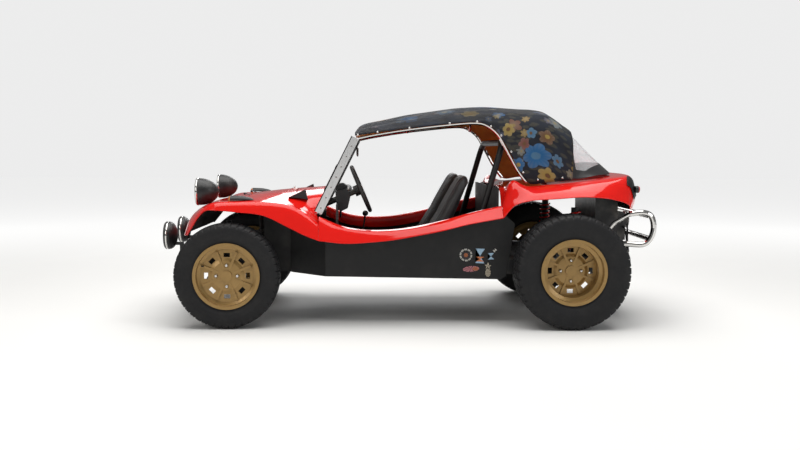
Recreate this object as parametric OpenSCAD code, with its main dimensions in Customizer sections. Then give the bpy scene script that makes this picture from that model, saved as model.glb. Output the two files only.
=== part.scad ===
/* [Overall] */
// Distance between the front and the rear axle
wheelbase = 2122; // [2000:1:2600]
// From the front axle to the foremost point, the fog lamps
front_overhang = 464; // [440:1:600]
// From the rear axle to the rearmost point, the bumper
rear_overhang = 616; // [600:1:760]
// Width of the body over the front fender lips
body_w = 1400; // [1340:1:1700]
// Height of the body's lower edge above the chassis datum
body_lift = 0; // [0:1:90]

/* [Wheels] */
// Outside diameter of a front tyre
front_tyre_d = 650; // [560:1:670]
// Width of a front tyre
front_tyre_w = 205; // [180:1:215]
// Outside diameter of a rear tyre
rear_tyre_d = 710; // [600:1:760]
// Width of a rear tyre
rear_tyre_w = 255; // [210:1:265]
// Distance between the middles of the front tyres
front_track = 1319; // [1310:1:1700]
// Distance between the middles of the rear tyres
rear_track = 1441; // [1430:1:1800]
// Diameter of the bead seat of every rim
rim_d = 381; // [340:1:400]
// Width of a front rim between its flanges
front_rim_w = 152; // [130:1:170]
// Width of a rear rim between its flanges
rear_rim_w = 203; // [170:1:220]
// Largest steering angle of a front wheel
steer_deg = 28; // [10:1:28]

/* [Cabin] */
// Rake of the windshield from the vertical
screen_rake = 26.4; // [20:0.1:35]
// Length of a windshield post
post_l = 545; // [480:1:620]
// Distance between the outer faces of the windshield posts
screen_w = 1120; // [1040:1:1140]
// Width of a seat
seat_w = 420; // [380:1:425]
// Distance of each seat's middle from the centreline
seat_y = 300; // [296:1:330]
// Outside diameter of the steering wheel
steering_wheel_d = 330; // [280:1:380]
// Diameter of the roll bar tube
roll_bar_d = 40; // [32:1:50]
// Diameter of the chrome tubes that carry the soft top
top_tube_d = 26; // [18:1:32]

/* [Walls] */
// Thickness of the glass fibre body
body_t = 6; // [4:1:10]
// Thickness of the soft top's cloth with its lining
cloth_t = 4; // [3:1:6]
// Thickness of the windshield glass
glass_t = 6; // [4:1:8]

/* [Hidden] */

// The frame's origin is on the ground, under the middle of the whole length
length = front_overhang + wheelbase + rear_overhang;
fx = length / 2 - front_overhang;
rx = fx - wheelbase;
hub_f = front_tyre_d / 2;
hub_r = rear_tyre_d / 2;
// Stations of the cabin, and how much longer it is than the plain wheelbase makes it
cowl_x = fx - 561;
tub_x = rx + 421;
pan_z = 310;
// Steering geometry
kingpin_y = front_track / 2 - 124;
arm_l = 110;
arm_z = hub_f + 50;
column_y = 320;
gap = 0.4;

// ---------------------------------------------------------------- curves and shells
function lerp(a, b, t) = a + (b - a) * t;
function unit(v) = v / max(norm(v), 1e-9);
// A point of a list, continued in a straight line past either end
function ctrl(p, i) = i < 0 ? 2 * p[0] - p[1] : i > len(p) - 1 ? 2 * p[len(p) - 1] - p[len(p) - 2] : p[i];
function cubic(a, b, c, d, t) =
    0.5 * (2 * b + (c - a) * t + (2 * a - 5 * b + 4 * c - d) * t * t + (3 * b - a - 3 * c + d) * t * t * t);
// The smooth curve through the points p at place t, counted in points
function along(p, t) = let(i = min(floor(t), len(p) - 2))
    cubic(ctrl(p, i - 1), p[i], p[i + 1], ctrl(p, i + 2), t - i);
function curve(p, n) = [for (k = [0:n * (len(p) - 1)]) along(p, k / n)];
// A smooth surface through a net of points, with nu and nv steps between its rows and columns
function surface_through(net, nu, nv) = let(across = [for (r = net) curve(r, nv)])
    [for (k = [0:nu * (len(net) - 1)]) [for (j = [0:len(across[0]) - 1]) along([for (r = across) r[j]], k / nu)]];
// A half net, given from the centreline outwards, made whole
function whole(net) = [for (r = net)
    concat([for (j = [len(r) - 1:-1:1]) [r[j].x, -r[j].y, r[j].z]], r)];
// The same rows, last first, for a net whose rows run rearwards
function turned(net) = [for (i = [len(net) - 1:-1:0]) net[i]];
// The point of a surface at places u along and v across its net
function on_net(net, u, v) = along([for (r = net) along(r, v)], u);
// A part of that surface, as a grid of n by n cells
function patch(net, u0, u1, v0, v1, n) =
    [for (k = [0:n]) [for (j = [0:n]) on_net(net, lerp(u0, u1, k / n), lerp(v0, v1, j / n))]];
// Outward directions of a grid, and the grid moved out by d
function normals(g) = let(nr = len(g), nc = len(g[0])) [for (i = [0:nr - 1]) [for (j = [0:nc - 1])
    cross(g[min(i + 1, nr - 1)][j] - g[max(i - 1, 0)][j], g[i][min(j + 1, nc - 1)] - g[i][max(j - 1, 0)])]];
function moved_out(g, d) = let(n = normals(g)) [for (i = [0:len(g) - 1]) [for (j = [0:len(g[0]) - 1])
    g[i][j] + d * unit(n[i][j])]];
function scaled_y(net, k) = [for (r = net) [for (p = r) [p.x, p.y * k, p.z]]];
function raised(net, dx, dz) = [for (r = net) [for (p = r) [p.x + dx, p.y, p.z + dz]]];

// A wall of thickness t behind a grid of points. Cells from hole[0] to hole[1] along the rows and
// hole[2] to hole[3] across are left open. flat_ends keeps the first and last rows in their planes.
module shell(g, t, hole = [0, 0, 0, 0], flat_ends = [false, false]) {
    nr = len(g);
    nc = len(g[0]);
    all_n = normals(g);
    inner = [for (i = [0:nr - 1]) [for (j = [0:nc - 1]) let(
        n = all_n[i][j],
        m = (i == 0 && flat_ends[0]) || (i == nr - 1 && flat_ends[1]) ? [0, n.y, n.z] : n)
        g[i][j] - t * unit(m)]];
    pts = concat([for (r = g) each r], [for (r = inner) each r]);
    s = nr * nc;
    function on(i, j) = i >= 0 && j >= 0 && i < nr - 1 && j < nc - 1
        && !(i >= hole[0] && i < hole[1] && j >= hole[2] && j < hole[3]);
    function wall(a, b) = [[b, a, a + s], [b, a + s, b + s]];
    faces = [for (i = [0:nr - 2]) for (j = [0:nc - 2]) if (on(i, j)) let(
        a = i * nc + j, b = a + nc, c = b + 1, d = a + 1)
        each concat([[a, b, c], [a, c, d], [a + s, c + s, b + s], [a + s, d + s, c + s]],
            on(i, j - 1) ? [] : wall(a, b), on(i + 1, j) ? [] : wall(b, c),
            on(i, j + 1) ? [] : wall(c, d), on(i - 1, j) ? [] : wall(d, a))];
    polyhedron(pts, [for (f = faces) [f[0], f[2], f[1]]]);
}

// A round tube or rod of diameter d through the points of path
module tube(path, d, sides = 12) {
    n = len(path);
    tan = [for (i = [0:n - 1]) unit(path[min(i + 1, n - 1)] - path[max(i - 1, 0)])];
    side0 = unit(cross(tan[0], abs(tan[0].z) < 0.9 ? [0, 0, 1] : [0, 1, 0]));
    // The side direction is carried along the path, so that the rings don't twist
    side = [for (i = 0, s = side0; i < n; i = i + 1, s = i < n ? unit(s - tan[i] * (s * tan[i])) : s) s];
    ring = [for (i = [0:n - 1]) let(s = unit(side[i] - tan[i] * (side[i] * tan[i])), u = cross(tan[i], s))
        [for (k = [0:sides - 1]) path[i] + d / 2 * (cos(k * 360 / sides) * s + sin(k * 360 / sides) * u)]];
    pts = concat([for (r = ring) each r], [path[0], path[n - 1]]);
    faces = concat(
        [for (i = [0:n - 2]) for (k = [0:sides - 1]) let(
            a = i * sides + k, b = i * sides + (k + 1) % sides, c = b + sides, e = a + sides)
            each [[a, b, c], [a, c, e]]],
        [for (k = [0:sides - 1]) [n * sides, (k + 1) % sides, k]],
        [for (k = [0:sides - 1]) [n * sides + 1, (n - 1) * sides + k, (n - 1) * sides + (k + 1) % sides]]);
    polyhedron(pts, [for (f = faces) [f[0], f[2], f[1]]]);
}

// A solid cylinder from point a to point b
module rod(a, b, d) {
    v = b - a;
    translate(a) rotate([0, acos(v.z / norm(v)), atan2(v.y, v.x)]) cylinder(d = d, h = norm(v), $fn = 48);
}
// Shapes on both sides of the car
module both() {
    children();
    mirror([0, 1, 0]) children();
}
// A shape that turns about a line along Y through [x, y, z], drawn about Z
module across_y(x, y, z) translate([x, y, z]) rotate([-90, 0, 0]) children();
// A side outline of [x, z] points, extruded from y0 to y1
module side_plate(outline, y0, y1) translate([0, y1, 0]) rotate([90, 0, 0])
    linear_extrude(height = y1 - y0) polygon(outline);
function arc(cx, cy, r, a0, a1, n) = [for (k = [0:n]) let(a = lerp(a0, a1, k / n)) [cx + r * cos(a), cy + r * sin(a)]];

// ---------------------------------------------------------------- wheels
rim_t = 7;
flange_h = 14;
// Half profile of a tyre: bead, bulging side, shoulder and crowned tread
module tyre(od, w, rim_w) {
    bead = rim_d / 2 + gap;
    half = rim_w / 2 - rim_t / 2 - 2 - gap;
    crown = 5;
    shoulder = 26;
    side = concat([[bead, half], [bead + flange_h + 4, half]],
        [for (k = [1:6]) let(t = k / 7) [lerp(bead + flange_h + 4, od / 2 - shoulder, t), half + (w / 2 - half) * sin(t * 116)]],
        arc(od / 2 - crown - shoulder, w / 2 - shoulder, shoulder, 90 - 12, 8, 5),
        [[od / 2 - 1, w / 4], [od / 2, 0]]);
    color("dimgray") rotate_extrude($fn = 96) polygon(concat(
        side, [for (k = [len(side) - 2:-1:0]) [side[k].x, -side[k].y]]));
}
// A rim drawn about Z with its outer face up: a rolled barrel, an eight-spoke disc and the brake drum
slot_n = 8;
slot_r = 128;
stud_pcd = 130;
stud_n = 4;
bore_d = 64;
module rim(rim_w, disc_z, drum_z) {
    r = rim_d / 2;
    h = rim_w / 2 + rim_t / 2;
    barrel = [[r - 6, h], [r + flange_h, h], [r + flange_h, h - rim_t], [r, h - rim_t - 2], [r - 1, h - 38],
        [r - 24, h - 46], [r - 24, -h + 52], [r - 1, -h + 42], [r, -h + rim_t + 2], [r + flange_h, -h + rim_t],
        [r + flange_h, -h], [r - 6, -h], [r - 8, -h + 40], [r - 30, -h + 50], [r - 30, h - 48], [r - 8, h - 38]];
    color("goldenrod") {
        difference() {
            union() {
                rotate_extrude($fn = 96) polygon(barrel);
                rotate_extrude($fn = 96) polygon([[0, disc_z - 12], [50, disc_z - 12], [88, disc_z - 14],
                    [108, disc_z - 22], [r - 27, disc_z - 22], [r - 27, disc_z - 10], [108, disc_z - 10],
                    [88, disc_z - 2], [50, disc_z], [0, disc_z]]);
                for (k = [0:slot_n - 1]) rotate([0, 0, (k + 0.5) * 360 / slot_n])
                    translate([44, -7, disc_z - 11]) cube([r - 76, 14, 13]);
                translate([0, 0, drum_z]) cylinder(r = 78, h = disc_z - 8 - drum_z, $fn = 96);
            }
            for (k = [0:slot_n - 1]) rotate([0, 0, k * 360 / slot_n])
                translate([slot_r - 13, -19, disc_z - 40]) cube([26, 38, 50]);
            for (k = [0:stud_n - 1]) rotate([0, 0, k * 360 / stud_n])
                translate([stud_pcd / 2, 0, disc_z - 6]) cylinder(r = 13, h = 20, $fn = 48);
            translate([0, 0, drum_z - 1]) cylinder(d = spindle_d + 2 * gap, h = disc_z - 30 - drum_z, $fn = 48);
        }
        for (k = [0:stud_n - 1]) rotate([0, 0, k * 360 / stud_n])
            translate([stud_pcd / 2, 0, disc_z - 8]) cylinder(r = 9, h = 10, $fn = 48);
        translate([0, 0, disc_z - 2]) cylinder(d = bore_d, h = 12, $fn = 96);
    }
}
spindle_d = 36;
front_disc_z = 44;
rear_disc_z = -5;
drum_w = 40;
front_hub_y = front_track / 2;
rear_hub_y = rear_track / 2;
module rim_front_left() across_y(fx, front_hub_y, hub_f) rim(front_rim_w, front_disc_z, front_disc_z - 8 - drum_w);
module rim_front_right() mirror([0, 1, 0]) rim_front_left();
module rim_rear_left() across_y(rx, rear_hub_y, hub_r) rim(rear_rim_w, rear_disc_z, rear_disc_z - 8 - drum_w);
module rim_rear_right() mirror([0, 1, 0]) rim_rear_left();
module tyre_front_left() across_y(fx, front_hub_y, hub_f) tyre(front_tyre_d, front_tyre_w, front_rim_w);
module tyre_front_right() mirror([0, 1, 0]) tyre_front_left();
module tyre_rear_left() across_y(rx, rear_hub_y, hub_r) tyre(rear_tyre_d, rear_tyre_w, rear_rim_w);
module tyre_rear_right() mirror([0, 1, 0]) tyre_rear_left();

// ---------------------------------------------------------------- chassis
tunnel_w = 150;
tunnel_h = 112;
pan_t = 14;
floor_z = pan_z + pan_t + gap;
module floor_pan() color("black") {
    // Steel pan, narrowed at the footwell, with its centre tunnel and the frame head
    half = ky * panel_y - panel_t - gap;
    x0 = tub_x + 13;
    difference() {
        union() {
            translate([0, 0, pan_z]) linear_extrude(height = pan_t) polygon([[x0, -half], [cowl_x - 46, -half],
                [fx - 374, -364], [fx - 194, -364], [fx - 194, 364], [fx - 374, 364], [cowl_x - 46, half], [x0, half]]);
            translate([x0, -tunnel_w / 2, pan_z]) cube([fx - 194 - x0, tunnel_w, tunnel_h]);
            translate([fx - 194 + gap, -tunnel_w / 2, pan_z]) cube([282 - gap, tunnel_w, 40]);
        }
        translate([x0 - 1, -tunnel_w / 2 + 6, pan_z - 1]) cube([fx - 198 - x0, tunnel_w - 12, tunnel_h - 5]);
    }
}
beam_x = fx + 139;
beam_d = 60;
beam_half = kingpin_y - 110;
king_d = 20;
module front_axle_beam() color("dimgray") {
    for (z = [hub_f - 60, hub_f + 75]) rod([beam_x, -beam_half, z], [beam_x, beam_half, z], beam_d);
    both() {
        // Shock tower, trailing arms and the king pin that they carry
        translate([beam_x - 20, beam_half - 50, hub_f - 40]) cube([40, 14, 300]);
        for (z = [hub_f - 60, hub_f + 75]) {
            rod([beam_x, beam_half - 1, z], [beam_x, beam_half + 30, z], 44);
            side_plate(concat(arc(beam_x, z, 26, -90, 90, 8), arc(fx, z, 20, 90, 270, 8)), beam_half + 10, beam_half + 30);
            rod([fx, beam_half + 29, z], [fx, kingpin_y, z], 22);
            translate([fx, kingpin_y, z - 12]) cylinder(d = 42, h = 24, $fn = 48);
        }
        translate([fx, kingpin_y, hub_f - 60]) cylinder(d = king_d, h = 135, $fn = 48);
    }
    // Clamps that hold the beam to the frame head
    for (y = [-70, 50]) translate([fx + 88 + gap, y, hub_f - 34]) cube([beam_x - fx - 88 + 10, 20, 90]);
}
module knuckle() {
    sleeve_z = hub_f - 47;
    color("dimgray") difference() {
        union() {
            // Sleeve on the king pin, stub axle, brake plate and steering arm
            translate([fx, kingpin_y, sleeve_z]) cylinder(d = 42, h = 109, $fn = 48);
            rod([fx, kingpin_y + 12, hub_f], [fx, front_hub_y + front_disc_z - 34, hub_f], spindle_d);
            across_y(fx, front_hub_y + front_disc_z - 8 - drum_w - 13, hub_f) cylinder(r = 80, h = 8, $fn = 96);
            translate([fx - arm_l, kingpin_y - 12, arm_z - 16]) cube([arm_l, 24, 16]);
            translate([fx - arm_l, kingpin_y, arm_z - 16]) cylinder(d = 26, h = 16, $fn = 48);
        }
        translate([fx, kingpin_y, sleeve_z - 1]) cylinder(d = king_d + 0.12, h = 111, $fn = 48);
    }
}
module knuckle_left() knuckle();
module knuckle_right() mirror([0, 1, 0]) knuckle();
pitman_y = column_y - 20;
module tie_rods() color("gray") {
    rod([fx - arm_l, -kingpin_y, arm_z + 14], [fx - arm_l, kingpin_y, arm_z + 14], 22);
    both() translate([fx - arm_l, kingpin_y, arm_z + gap]) cylinder(d = 26, h = 28, $fn = 48);
    translate([fx - arm_l, pitman_y, arm_z + 4]) cylinder(d = 28, h = 28, $fn = 48);
}
module pitman_arm() color("dimgray") {
    translate([fx, pitman_y, arm_z + 34]) cylinder(d = 34, h = 16, $fn = 48);
    translate([fx - arm_l, pitman_y - 10, arm_z + 34]) cube([arm_l, 20, 12]);
    translate([fx - arm_l, pitman_y, arm_z + 32 + gap]) cylinder(d = 26, h = 13, $fn = 48);
}
wheel_c = [cowl_x - 260, column_y, 845 + body_lift];
column_tilt = 23.2;
column_dir = [cos(column_tilt), 0, -sin(column_tilt)];
function on_column(s) = wheel_c + s * column_dir;
column_end = fx - 20;
module steering_column() color("dimgray") {
    // Steering box over the frame head, its bracket and the jacket tube
    top = arm_z + 50 + gap;
    far = on_column((column_end - wheel_c.x) / cos(column_tilt));
    translate([fx - 40, pitman_y - 36, top]) cube([80, 72, far.z + 28 - top]);
    translate([fx + 30, pitman_y - 12, hub_f + 75]) cube([beam_x - beam_d / 2 - gap - fx - 30, 24, top + 30 - hub_f - 75]);
    rod(on_column(46.4), far, 38);
}
module rear_torsion_tube() color("dimgray") {
    x = tub_x - 25.4;
    z = hub_r + 8;
    rod([x, -rear_hub_y + 165, z], [x, rear_hub_y - 165, z], 76);
    both() {
        // Spring plate back to the wheel, and the frame horn that holds the gearbox
        difference() {
            side_plate([[x + 38, z - 46], [x + 38, z + 46], [x - 40, z + 46], [rx - 50, hub_r + 52], [rx - 50, hub_r - 52],
                [x - 40, z - 46]], rear_hub_y - 165 + gap, rear_hub_y - 153);
            rod([rx, 0, hub_r], [rx, rear_hub_y, hub_r], axle_tube_d + 2 * gap);
        }
        translate([rx + 60, 142, z - 22]) cube([x - rx - 60, 30, 44]);
    }
}
axle_tube_d = 76;
module gearbox() color("silver") {
    rod([rx + 320, 0, hub_r + 5], [engine_x0 + gap, 0, hub_r + 5], 230);
    both() {
        rod([rx, 80, hub_r], [rx, rear_hub_y - 150, hub_r], axle_tube_d);
        rod([rx, rear_hub_y - 151, hub_r], [rx, rear_hub_y + rear_disc_z - 34, hub_r], spindle_d);
        across_y(rx, rear_hub_y + rear_disc_z - 76, hub_r) cylinder(r = 100, h = 16, $fn = 96);
        translate([rx + 100, 112, hub_r + 5 - 16]) cube([50, 30 - gap, 32]);
    }
}
module shock_absorbers() color("black") both() {
    // One beside each shock tower, and one behind each axle tube
    y = beam_half - 50 - 22 - gap;
    rod([beam_x - 10, y, hub_f + 75 + beam_d / 2 + 4], [beam_x - 10, y, hub_f + 250], 44);
    rod([rx - axle_tube_d / 2 - 24 - gap, rear_hub_y - 190, hub_r - 10], [rx - 70, rear_hub_y - 230, hub_r + 380], 48);
}
engine_x0 = rx - 170;
engine_l = 320;
module engine() color("darkgray") {
    translate([engine_x0 - engine_l, -170, hub_r - 80]) cube([engine_l, 340, 210]);
    both() translate([engine_x0 - engine_l + 30, 170, hub_r - 40]) cube([engine_l - 60, 200, 130]);
    translate([engine_x0 - 230, -300, hub_r + 130]) cube([150, 600, 330]);
    across_y(engine_x0 - 300, -90, hub_r + 270) cylinder(d = 120, h = 180, $fn = 64);
    translate([engine_x0 - 350, -60, hub_r + 130]) cube([100, 120, 90]);
}
module exhaust() color("dimgray") {
    x = engine_x0 - engine_l + 75;
    z = hub_r - 140;
    rod([x, -260, z], [x, 260, z], 110);
    both() tube(curve([[x - 15, 310, hub_r - 47], [x - 18, 312, hub_r - 98],
        [x - 12, 298, z + 16], [x, 245, z]], 4), 42, 12);
}

// ---------------------------------------------------------------- bumpers
module rear_bumper() color("silver") {
    d = 38;
    x = rx - rear_overhang + d / 2;
    hoop = [[x + 170, 430, 495], [x + 70, 452, 492], [x + 22, 452, 528], [x, 450, 600], [x + 18, 450, 676],
        [x + 76, 450, 700], [x + 160, 446, 690]];
    both() {
        tube(curve(hoop, 4), d, 12);
        tube([[x + 170, 430, 495], [x + 380, 390, 470], [rx - 20, 240, hub_r + 64], [rx + 110, 166, hub_r + 49.2]], d, 12);
        tube([[x + 160, 446, 690], [x + 250, 420, 630], [x + 370, 392, 478]], 26, 12);
    }
    for (z = [528, 676]) rod([x + 21, -450, z], [x + 21, 450, z], d);
}
lamp_y = 240;
module front_bumper() color("silver") {
    x = fx + 345;
    bow = [[x - 120, 330, 400], [x - 40, 322, 404], [x - 4, 280, 406], [x, 200, 406], [x, 100, 406]];
    tube(curve(concat([for (p = bow) [p.x, -p.y, p.z]], [for (k = [len(bow) - 1:-1:0]) bow[k]]), 3), 32, 12);
    both() {
        rod([beam_x + beam_d / 2 + gap, 150, hub_f + 75], [x, 150, 406], 30);
        translate([x - 12, lamp_y - 20, 414]) cube([24, 40, 16]);
    }
}

// ---------------------------------------------------------------- glass fibre body
ky = body_w / 1400;
// Half nets from the centreline outwards, in distances from an axle
front_half = [
    [[-614, 0, 852], [-612, 150, 848], [-603, 300, 830], [-583, 420, 788], [-548, 530, 698], [-561, 610, 652], [-561, 668, 628], [-561, 700, 540]],
    [[-500, 0, 842], [-500, 150, 839], [-500, 300, 826], [-500, 420, 798], [-490, 530, 738], [-480, 610, 714], [-475, 668, 690], [-472, 700, 575]],
    [[-400, 0, 836], [-400, 150, 833], [-400, 300, 822], [-395, 420, 803], [-390, 530, 776], [-380, 610, 760], [-372, 668, 742], [-368, 700, 627]],
    [[-220, 0, 818], [-220, 150, 816], [-220, 300, 809], [-220, 420, 800], [-220, 530, 790], [-220, 620, 781], [-220, 672, 765], [-220, 700, 696]],
    [[-50, 0, 792], [-50, 150, 792], [-50, 300, 790], [-50, 420, 786], [-50, 530, 784], [-50, 625, 780], [-50, 676, 767], [-50, 700, 717]],
    [[90, 0, 768], [90, 150, 767], [88, 300, 763], [85, 420, 760], [82, 530, 768], [78, 620, 774], [75, 672, 764], [75, 698, 728]],
    [[190, 0, 741], [189, 150, 740], [184, 300, 736], [177, 420, 732], [164, 530, 740], [150, 604, 744], [140, 650, 738], [133, 678, 724]],
    [[256, 0, 702], [254, 150, 702], [246, 300, 700], [234, 420, 698], [218, 520, 698], [200, 588, 696], [190, 622, 690], [182, 646, 680]],
    [[306, 0, 640], [303, 150, 640], [294, 300, 640], [280, 410, 638], [262, 496, 636], [242, 556, 634], [230, 586, 632], [220, 606, 626]],
    [[338, 0, 542], [335, 150, 542], [326, 300, 544], [312, 400, 548], [296, 470, 554], [282, 512, 560], [274, 534, 562], [268, 548, 560]]];
hood_row0 = 2;
hood_row1 = 4;
hood_col = 2;
front_net = raised(scaled_y(front_half, ky), fx, body_lift);
nu = 3;
nv = 2;
hood_gap = 6;
mid_col = len(front_half[0]) - 1;
hinge_x = fx - 50 - 3;
hinge_z = 806 + body_lift;
hinge_y = 190;
hinge_d = 6;
module front_body() color("red") {
    shell(surface_through(whole(front_net), nu, nv), body_t,
        hole = [hood_row0 * nu, hood_row1 * nu, (mid_col - hood_col) * nv, (mid_col + hood_col) * nv], flat_ends = [true, false]);
    // Fixed leaves of the hood hinges, with their pins
    both() {
        translate([hinge_x + 8, hinge_y - 24, hinge_z - 18]) cube([30, 48, 14]);
        for (y = [-24, 13]) {
            translate([hinge_x, hinge_y + y, hinge_z - 7]) cube([12, 11, 7]);
            across_y(hinge_x, hinge_y + y, hinge_z) cylinder(d = 14, h = 11, $fn = 48);
        }
        across_y(hinge_x, hinge_y - 24, hinge_z) cylinder(d = hinge_d, h = 48, $fn = 48);
    }
}
module hood() {
    net = whole(front_net);
    g = patch(net, hood_row0 + hood_gap / 180, hood_row1 - hood_gap / 170,
        mid_col - hood_col + hood_gap / 150, mid_col + hood_col - hood_gap / 150, 8);
    catch = on_net(front_net, hood_row0 + 0.2, 0);
    color("red") shell(g, body_t);
    color("black") {
        both() difference() {
            union() {
                translate([hinge_x - 34, hinge_y - 12, hinge_z - 16]) cube([26, 24, 12]);
                translate([hinge_x - 12, hinge_y - 12, hinge_z - 7]) cube([12, 24, 7]);
                across_y(hinge_x, hinge_y - 12, hinge_z) cylinder(d = 14, h = 24, $fn = 48);
            }
            across_y(hinge_x, hinge_y - 13, hinge_z) cylinder(d = hinge_d + 0.12, h = 26, $fn = 48);
        }
        // Catch with its cross handle
        translate(catch - [0, 0, 4]) cylinder(d = 16, h = 14, $fn = 48);
        across_y(catch.x, -26, catch.z + 12) cylinder(d = 9, h = 52, $fn = 48);
    }
}
// Half section of a sill at each station: inner foot, inner top, top, shoulder, crease, lip.
// Places along the cabin run from 0 at the cowl to 1 at the tub's rear.
function sill_row(x, zt, zk, zl, w = 0) = [[x, 584, zt - 80], [x, 588, zt - 16], [x, 606, zt], [x, 640, zt - 3],
    [x, 668 + w, zk], [x, 700 + w, zl]];
sill_marks = [[0, 682, 628, 540], [0.14, 621, 604, 523], [0.27, 601, 590, 530], [0.40, 604, 594, 545],
    [0.52, 622, 611, 569], [0.66, 656, 640, 600], [0.80, 700, 672, 640], [0.90, 728, 696, 662], [1, 752, 718, 682]];
sill_net = [for (m = sill_marks) sill_row(lerp(cowl_x, tub_x, m[0]), m[1], m[2], m[3])];
module sills() color("red") both()
    mirror([0, 1, 0]) shell([for (r = surface_through(raised(scaled_y(sill_net, -ky), 0, body_lift), 3, 2)) r], body_t,
        flat_ends = [true, true]);
// Rear body: deck, raised corner behind the door opening, fender, and the tail that turns down
rear_half = [
    [[421, 0, 872], [421, 200, 872], [421, 400, 868], [421, 520, 840], [421, 588, 740], [421, 606, 752], [421, 640, 749], [421, 668, 718], [421, 700, 682]],
    [[385, 0, 874], [385, 200, 874], [385, 400, 872], [385, 500, 868], [385, 560, 866], [385, 606, 862], [385, 642, 830], [385, 680, 760], [385, 706, 728]],
    [[345, 0, 876], [345, 200, 876], [345, 400, 876], [345, 500, 880], [345, 560, 900], [345, 604, 911], [345, 646, 880], [345, 690, 792], [345, 716, 766]],
    [[250, 0, 880], [250, 200, 880], [250, 400, 878], [250, 500, 876], [250, 560, 876], [250, 604, 872], [250, 650, 856], [250, 700, 822], [250, 730, 792]],
    [[100, 0, 892], [100, 200, 892], [100, 400, 890], [100, 500, 889], [100, 560, 888], [100, 610, 884], [100, 665, 870], [100, 722, 840], [100, 756, 804]],
    [[-60, 0, 908], [-60, 200, 908], [-60, 400, 906], [-60, 500, 905], [-60, 560, 903], [-60, 610, 899], [-60, 665, 884], [-60, 724, 850], [-60, 760, 815]],
    [[-220, 0, 926], [-220, 200, 926], [-220, 400, 924], [-220, 500, 923], [-218, 560, 920], [-214, 608, 914], [-210, 660, 896], [-206, 712, 850], [-202, 742, 807]],
    [[-370, 0, 940], [-368, 200, 940], [-356, 400, 938], [-346, 500, 936], [-336, 560, 932], [-326, 604, 922], [-318, 648, 890], [-312, 684, 832], [-310, 706, 785]],
    [[-450, 0, 944], [-446, 200, 944], [-430, 400, 942], [-414, 500, 938], [-400, 560, 930], [-388, 600, 912], [-376, 636, 872], [-364, 664, 812], [-358, 684, 768]],
    [[-476, 0, 900], [-472, 200, 900], [-456, 400, 898], [-440, 500, 893], [-424, 558, 886], [-410, 596, 868], [-396, 628, 836], [-380, 654, 792], [-372, 672, 758]],
    [[-488, 0, 800], [-484, 200, 800], [-470, 400, 800], [-455, 500, 800], [-440, 556, 798], [-424, 592, 794], [-408, 622, 784], [-392, 646, 768], [-382, 664, 748]],
    [[-466, 0, 716], [-462, 200, 716], [-448, 400, 718], [-434, 500, 720], [-420, 554, 724], [-406, 588, 730], [-394, 616, 734], [-384, 640, 738], [-378, 658, 736]]];
rear_net = turned(raised(scaled_y(rear_half, ky), rx, body_lift));
module rear_body() color("red") shell(surface_through(whole(rear_net), 2, 2), body_t, flat_ends = [false, true]);

// Black side panels under the sills, angled in at the front past the footwell
panel_t = 10;
panel_y = 606;
panel_top_x = tub_x - 30;
module side_panels() color("black") {
    z0 = pan_z - 2;
    y1 = ky * panel_y;
    x1 = cowl_x - 40;
    marks = [for (m = sill_marks) [lerp(cowl_x, tub_x, m[0]), m[1] - 26 + body_lift]];
    both() {
        side_plate(concat([[x1, z0], [tub_x - 2, z0 - 20], [tub_x - 36, z0 + 2], [tub_x - 88, 640], [tub_x - 30, 690]],
            [for (k = [len(marks) - 1:-1:1]) marks[k]], [[x1, marks[1].y + 20]]), y1 - panel_t, y1);
        // Front quarter, angled in to the footwell
        hull() {
            translate([x1 + gap, y1 - panel_t, z0]) cube([1, panel_t, 276]);
            translate([fx - 370, 370, z0]) cube([1, panel_t, 386]);
        }
    }
}
module inner_tub() color("dimgray") {
    // Footwell side walls, and the toe board and rear bulkhead that stand over the tunnel
    x0 = tub_x + 13;
    both() translate([fx - 368, 353, floor_z]) cube([174.6, 10, 370]);
    difference() {
        union() {
            side_plate([[fx - 193, floor_z], [fx - 183, floor_z], [fx - 160, 670], [fx - 170, 670]], -363, 363);
            half = ky * panel_y - panel_t - gap;
            translate([x0, -half, floor_z]) cube([10, 2 * half, 645 + body_lift - floor_z]);
            translate([x0, -ky * 583, floor_z]) cube([10, 2 * ky * 583, 862 + body_lift - floor_z]);
        }
        translate([x0 - 1, -tunnel_w / 2 - gap, floor_z - 1]) cube([fx - x0, tunnel_w + 2 * gap, tunnel_h - pan_t + 1]);
        rod(on_column(400), on_column(1000), 50);
    }
}
scoop_l = 185;
module cowl_scoops() color("black") both() {
    // A fin on the cowl's shoulder: its foot follows the skin, its back edge stands up
    foot = [for (k = [0:6]) let(p = on_net(front_net, lerp(1.15, 2.2, k / 6), 3.3)) [p.x, p.z + 0.45]];
    y = on_net(front_net, 1.7, 3.3).y;
    side_plate(concat(foot, [[foot[0].x + 14, 848 + body_lift]]), y, y + 44);
}
module dashboard() color("black") {
    x = cowl_x - 96;
    z = 845 + body_lift;
    difference() {
        union() {
            side_plate(concat([[x, z - 14], [x - 10, z - 130], [x - 40, z - 140], [x - 80, z - 120]],
                arc(x - 66, z - 30, 32, 180, 90, 6)), -430, 430);
            // Instrument binnacle, and the cheeks that join the dash to the tub
            across_y(x - 40, column_y - 60, z + 2) cylinder(d = 72, h = 120, $fn = 64);
            both() translate([x - 20, 429, z - 240]) cube([12, ky * 586 - 429, 150]);
        }
        rod(on_column(-100), on_column(400), 50);
    }
}

// ---------------------------------------------------------------- windshield
post_d = 46;
post_t = 22;
screen_foot = [cowl_x + 15, 0, 684.7 + body_lift];
post_start = 20;
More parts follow.
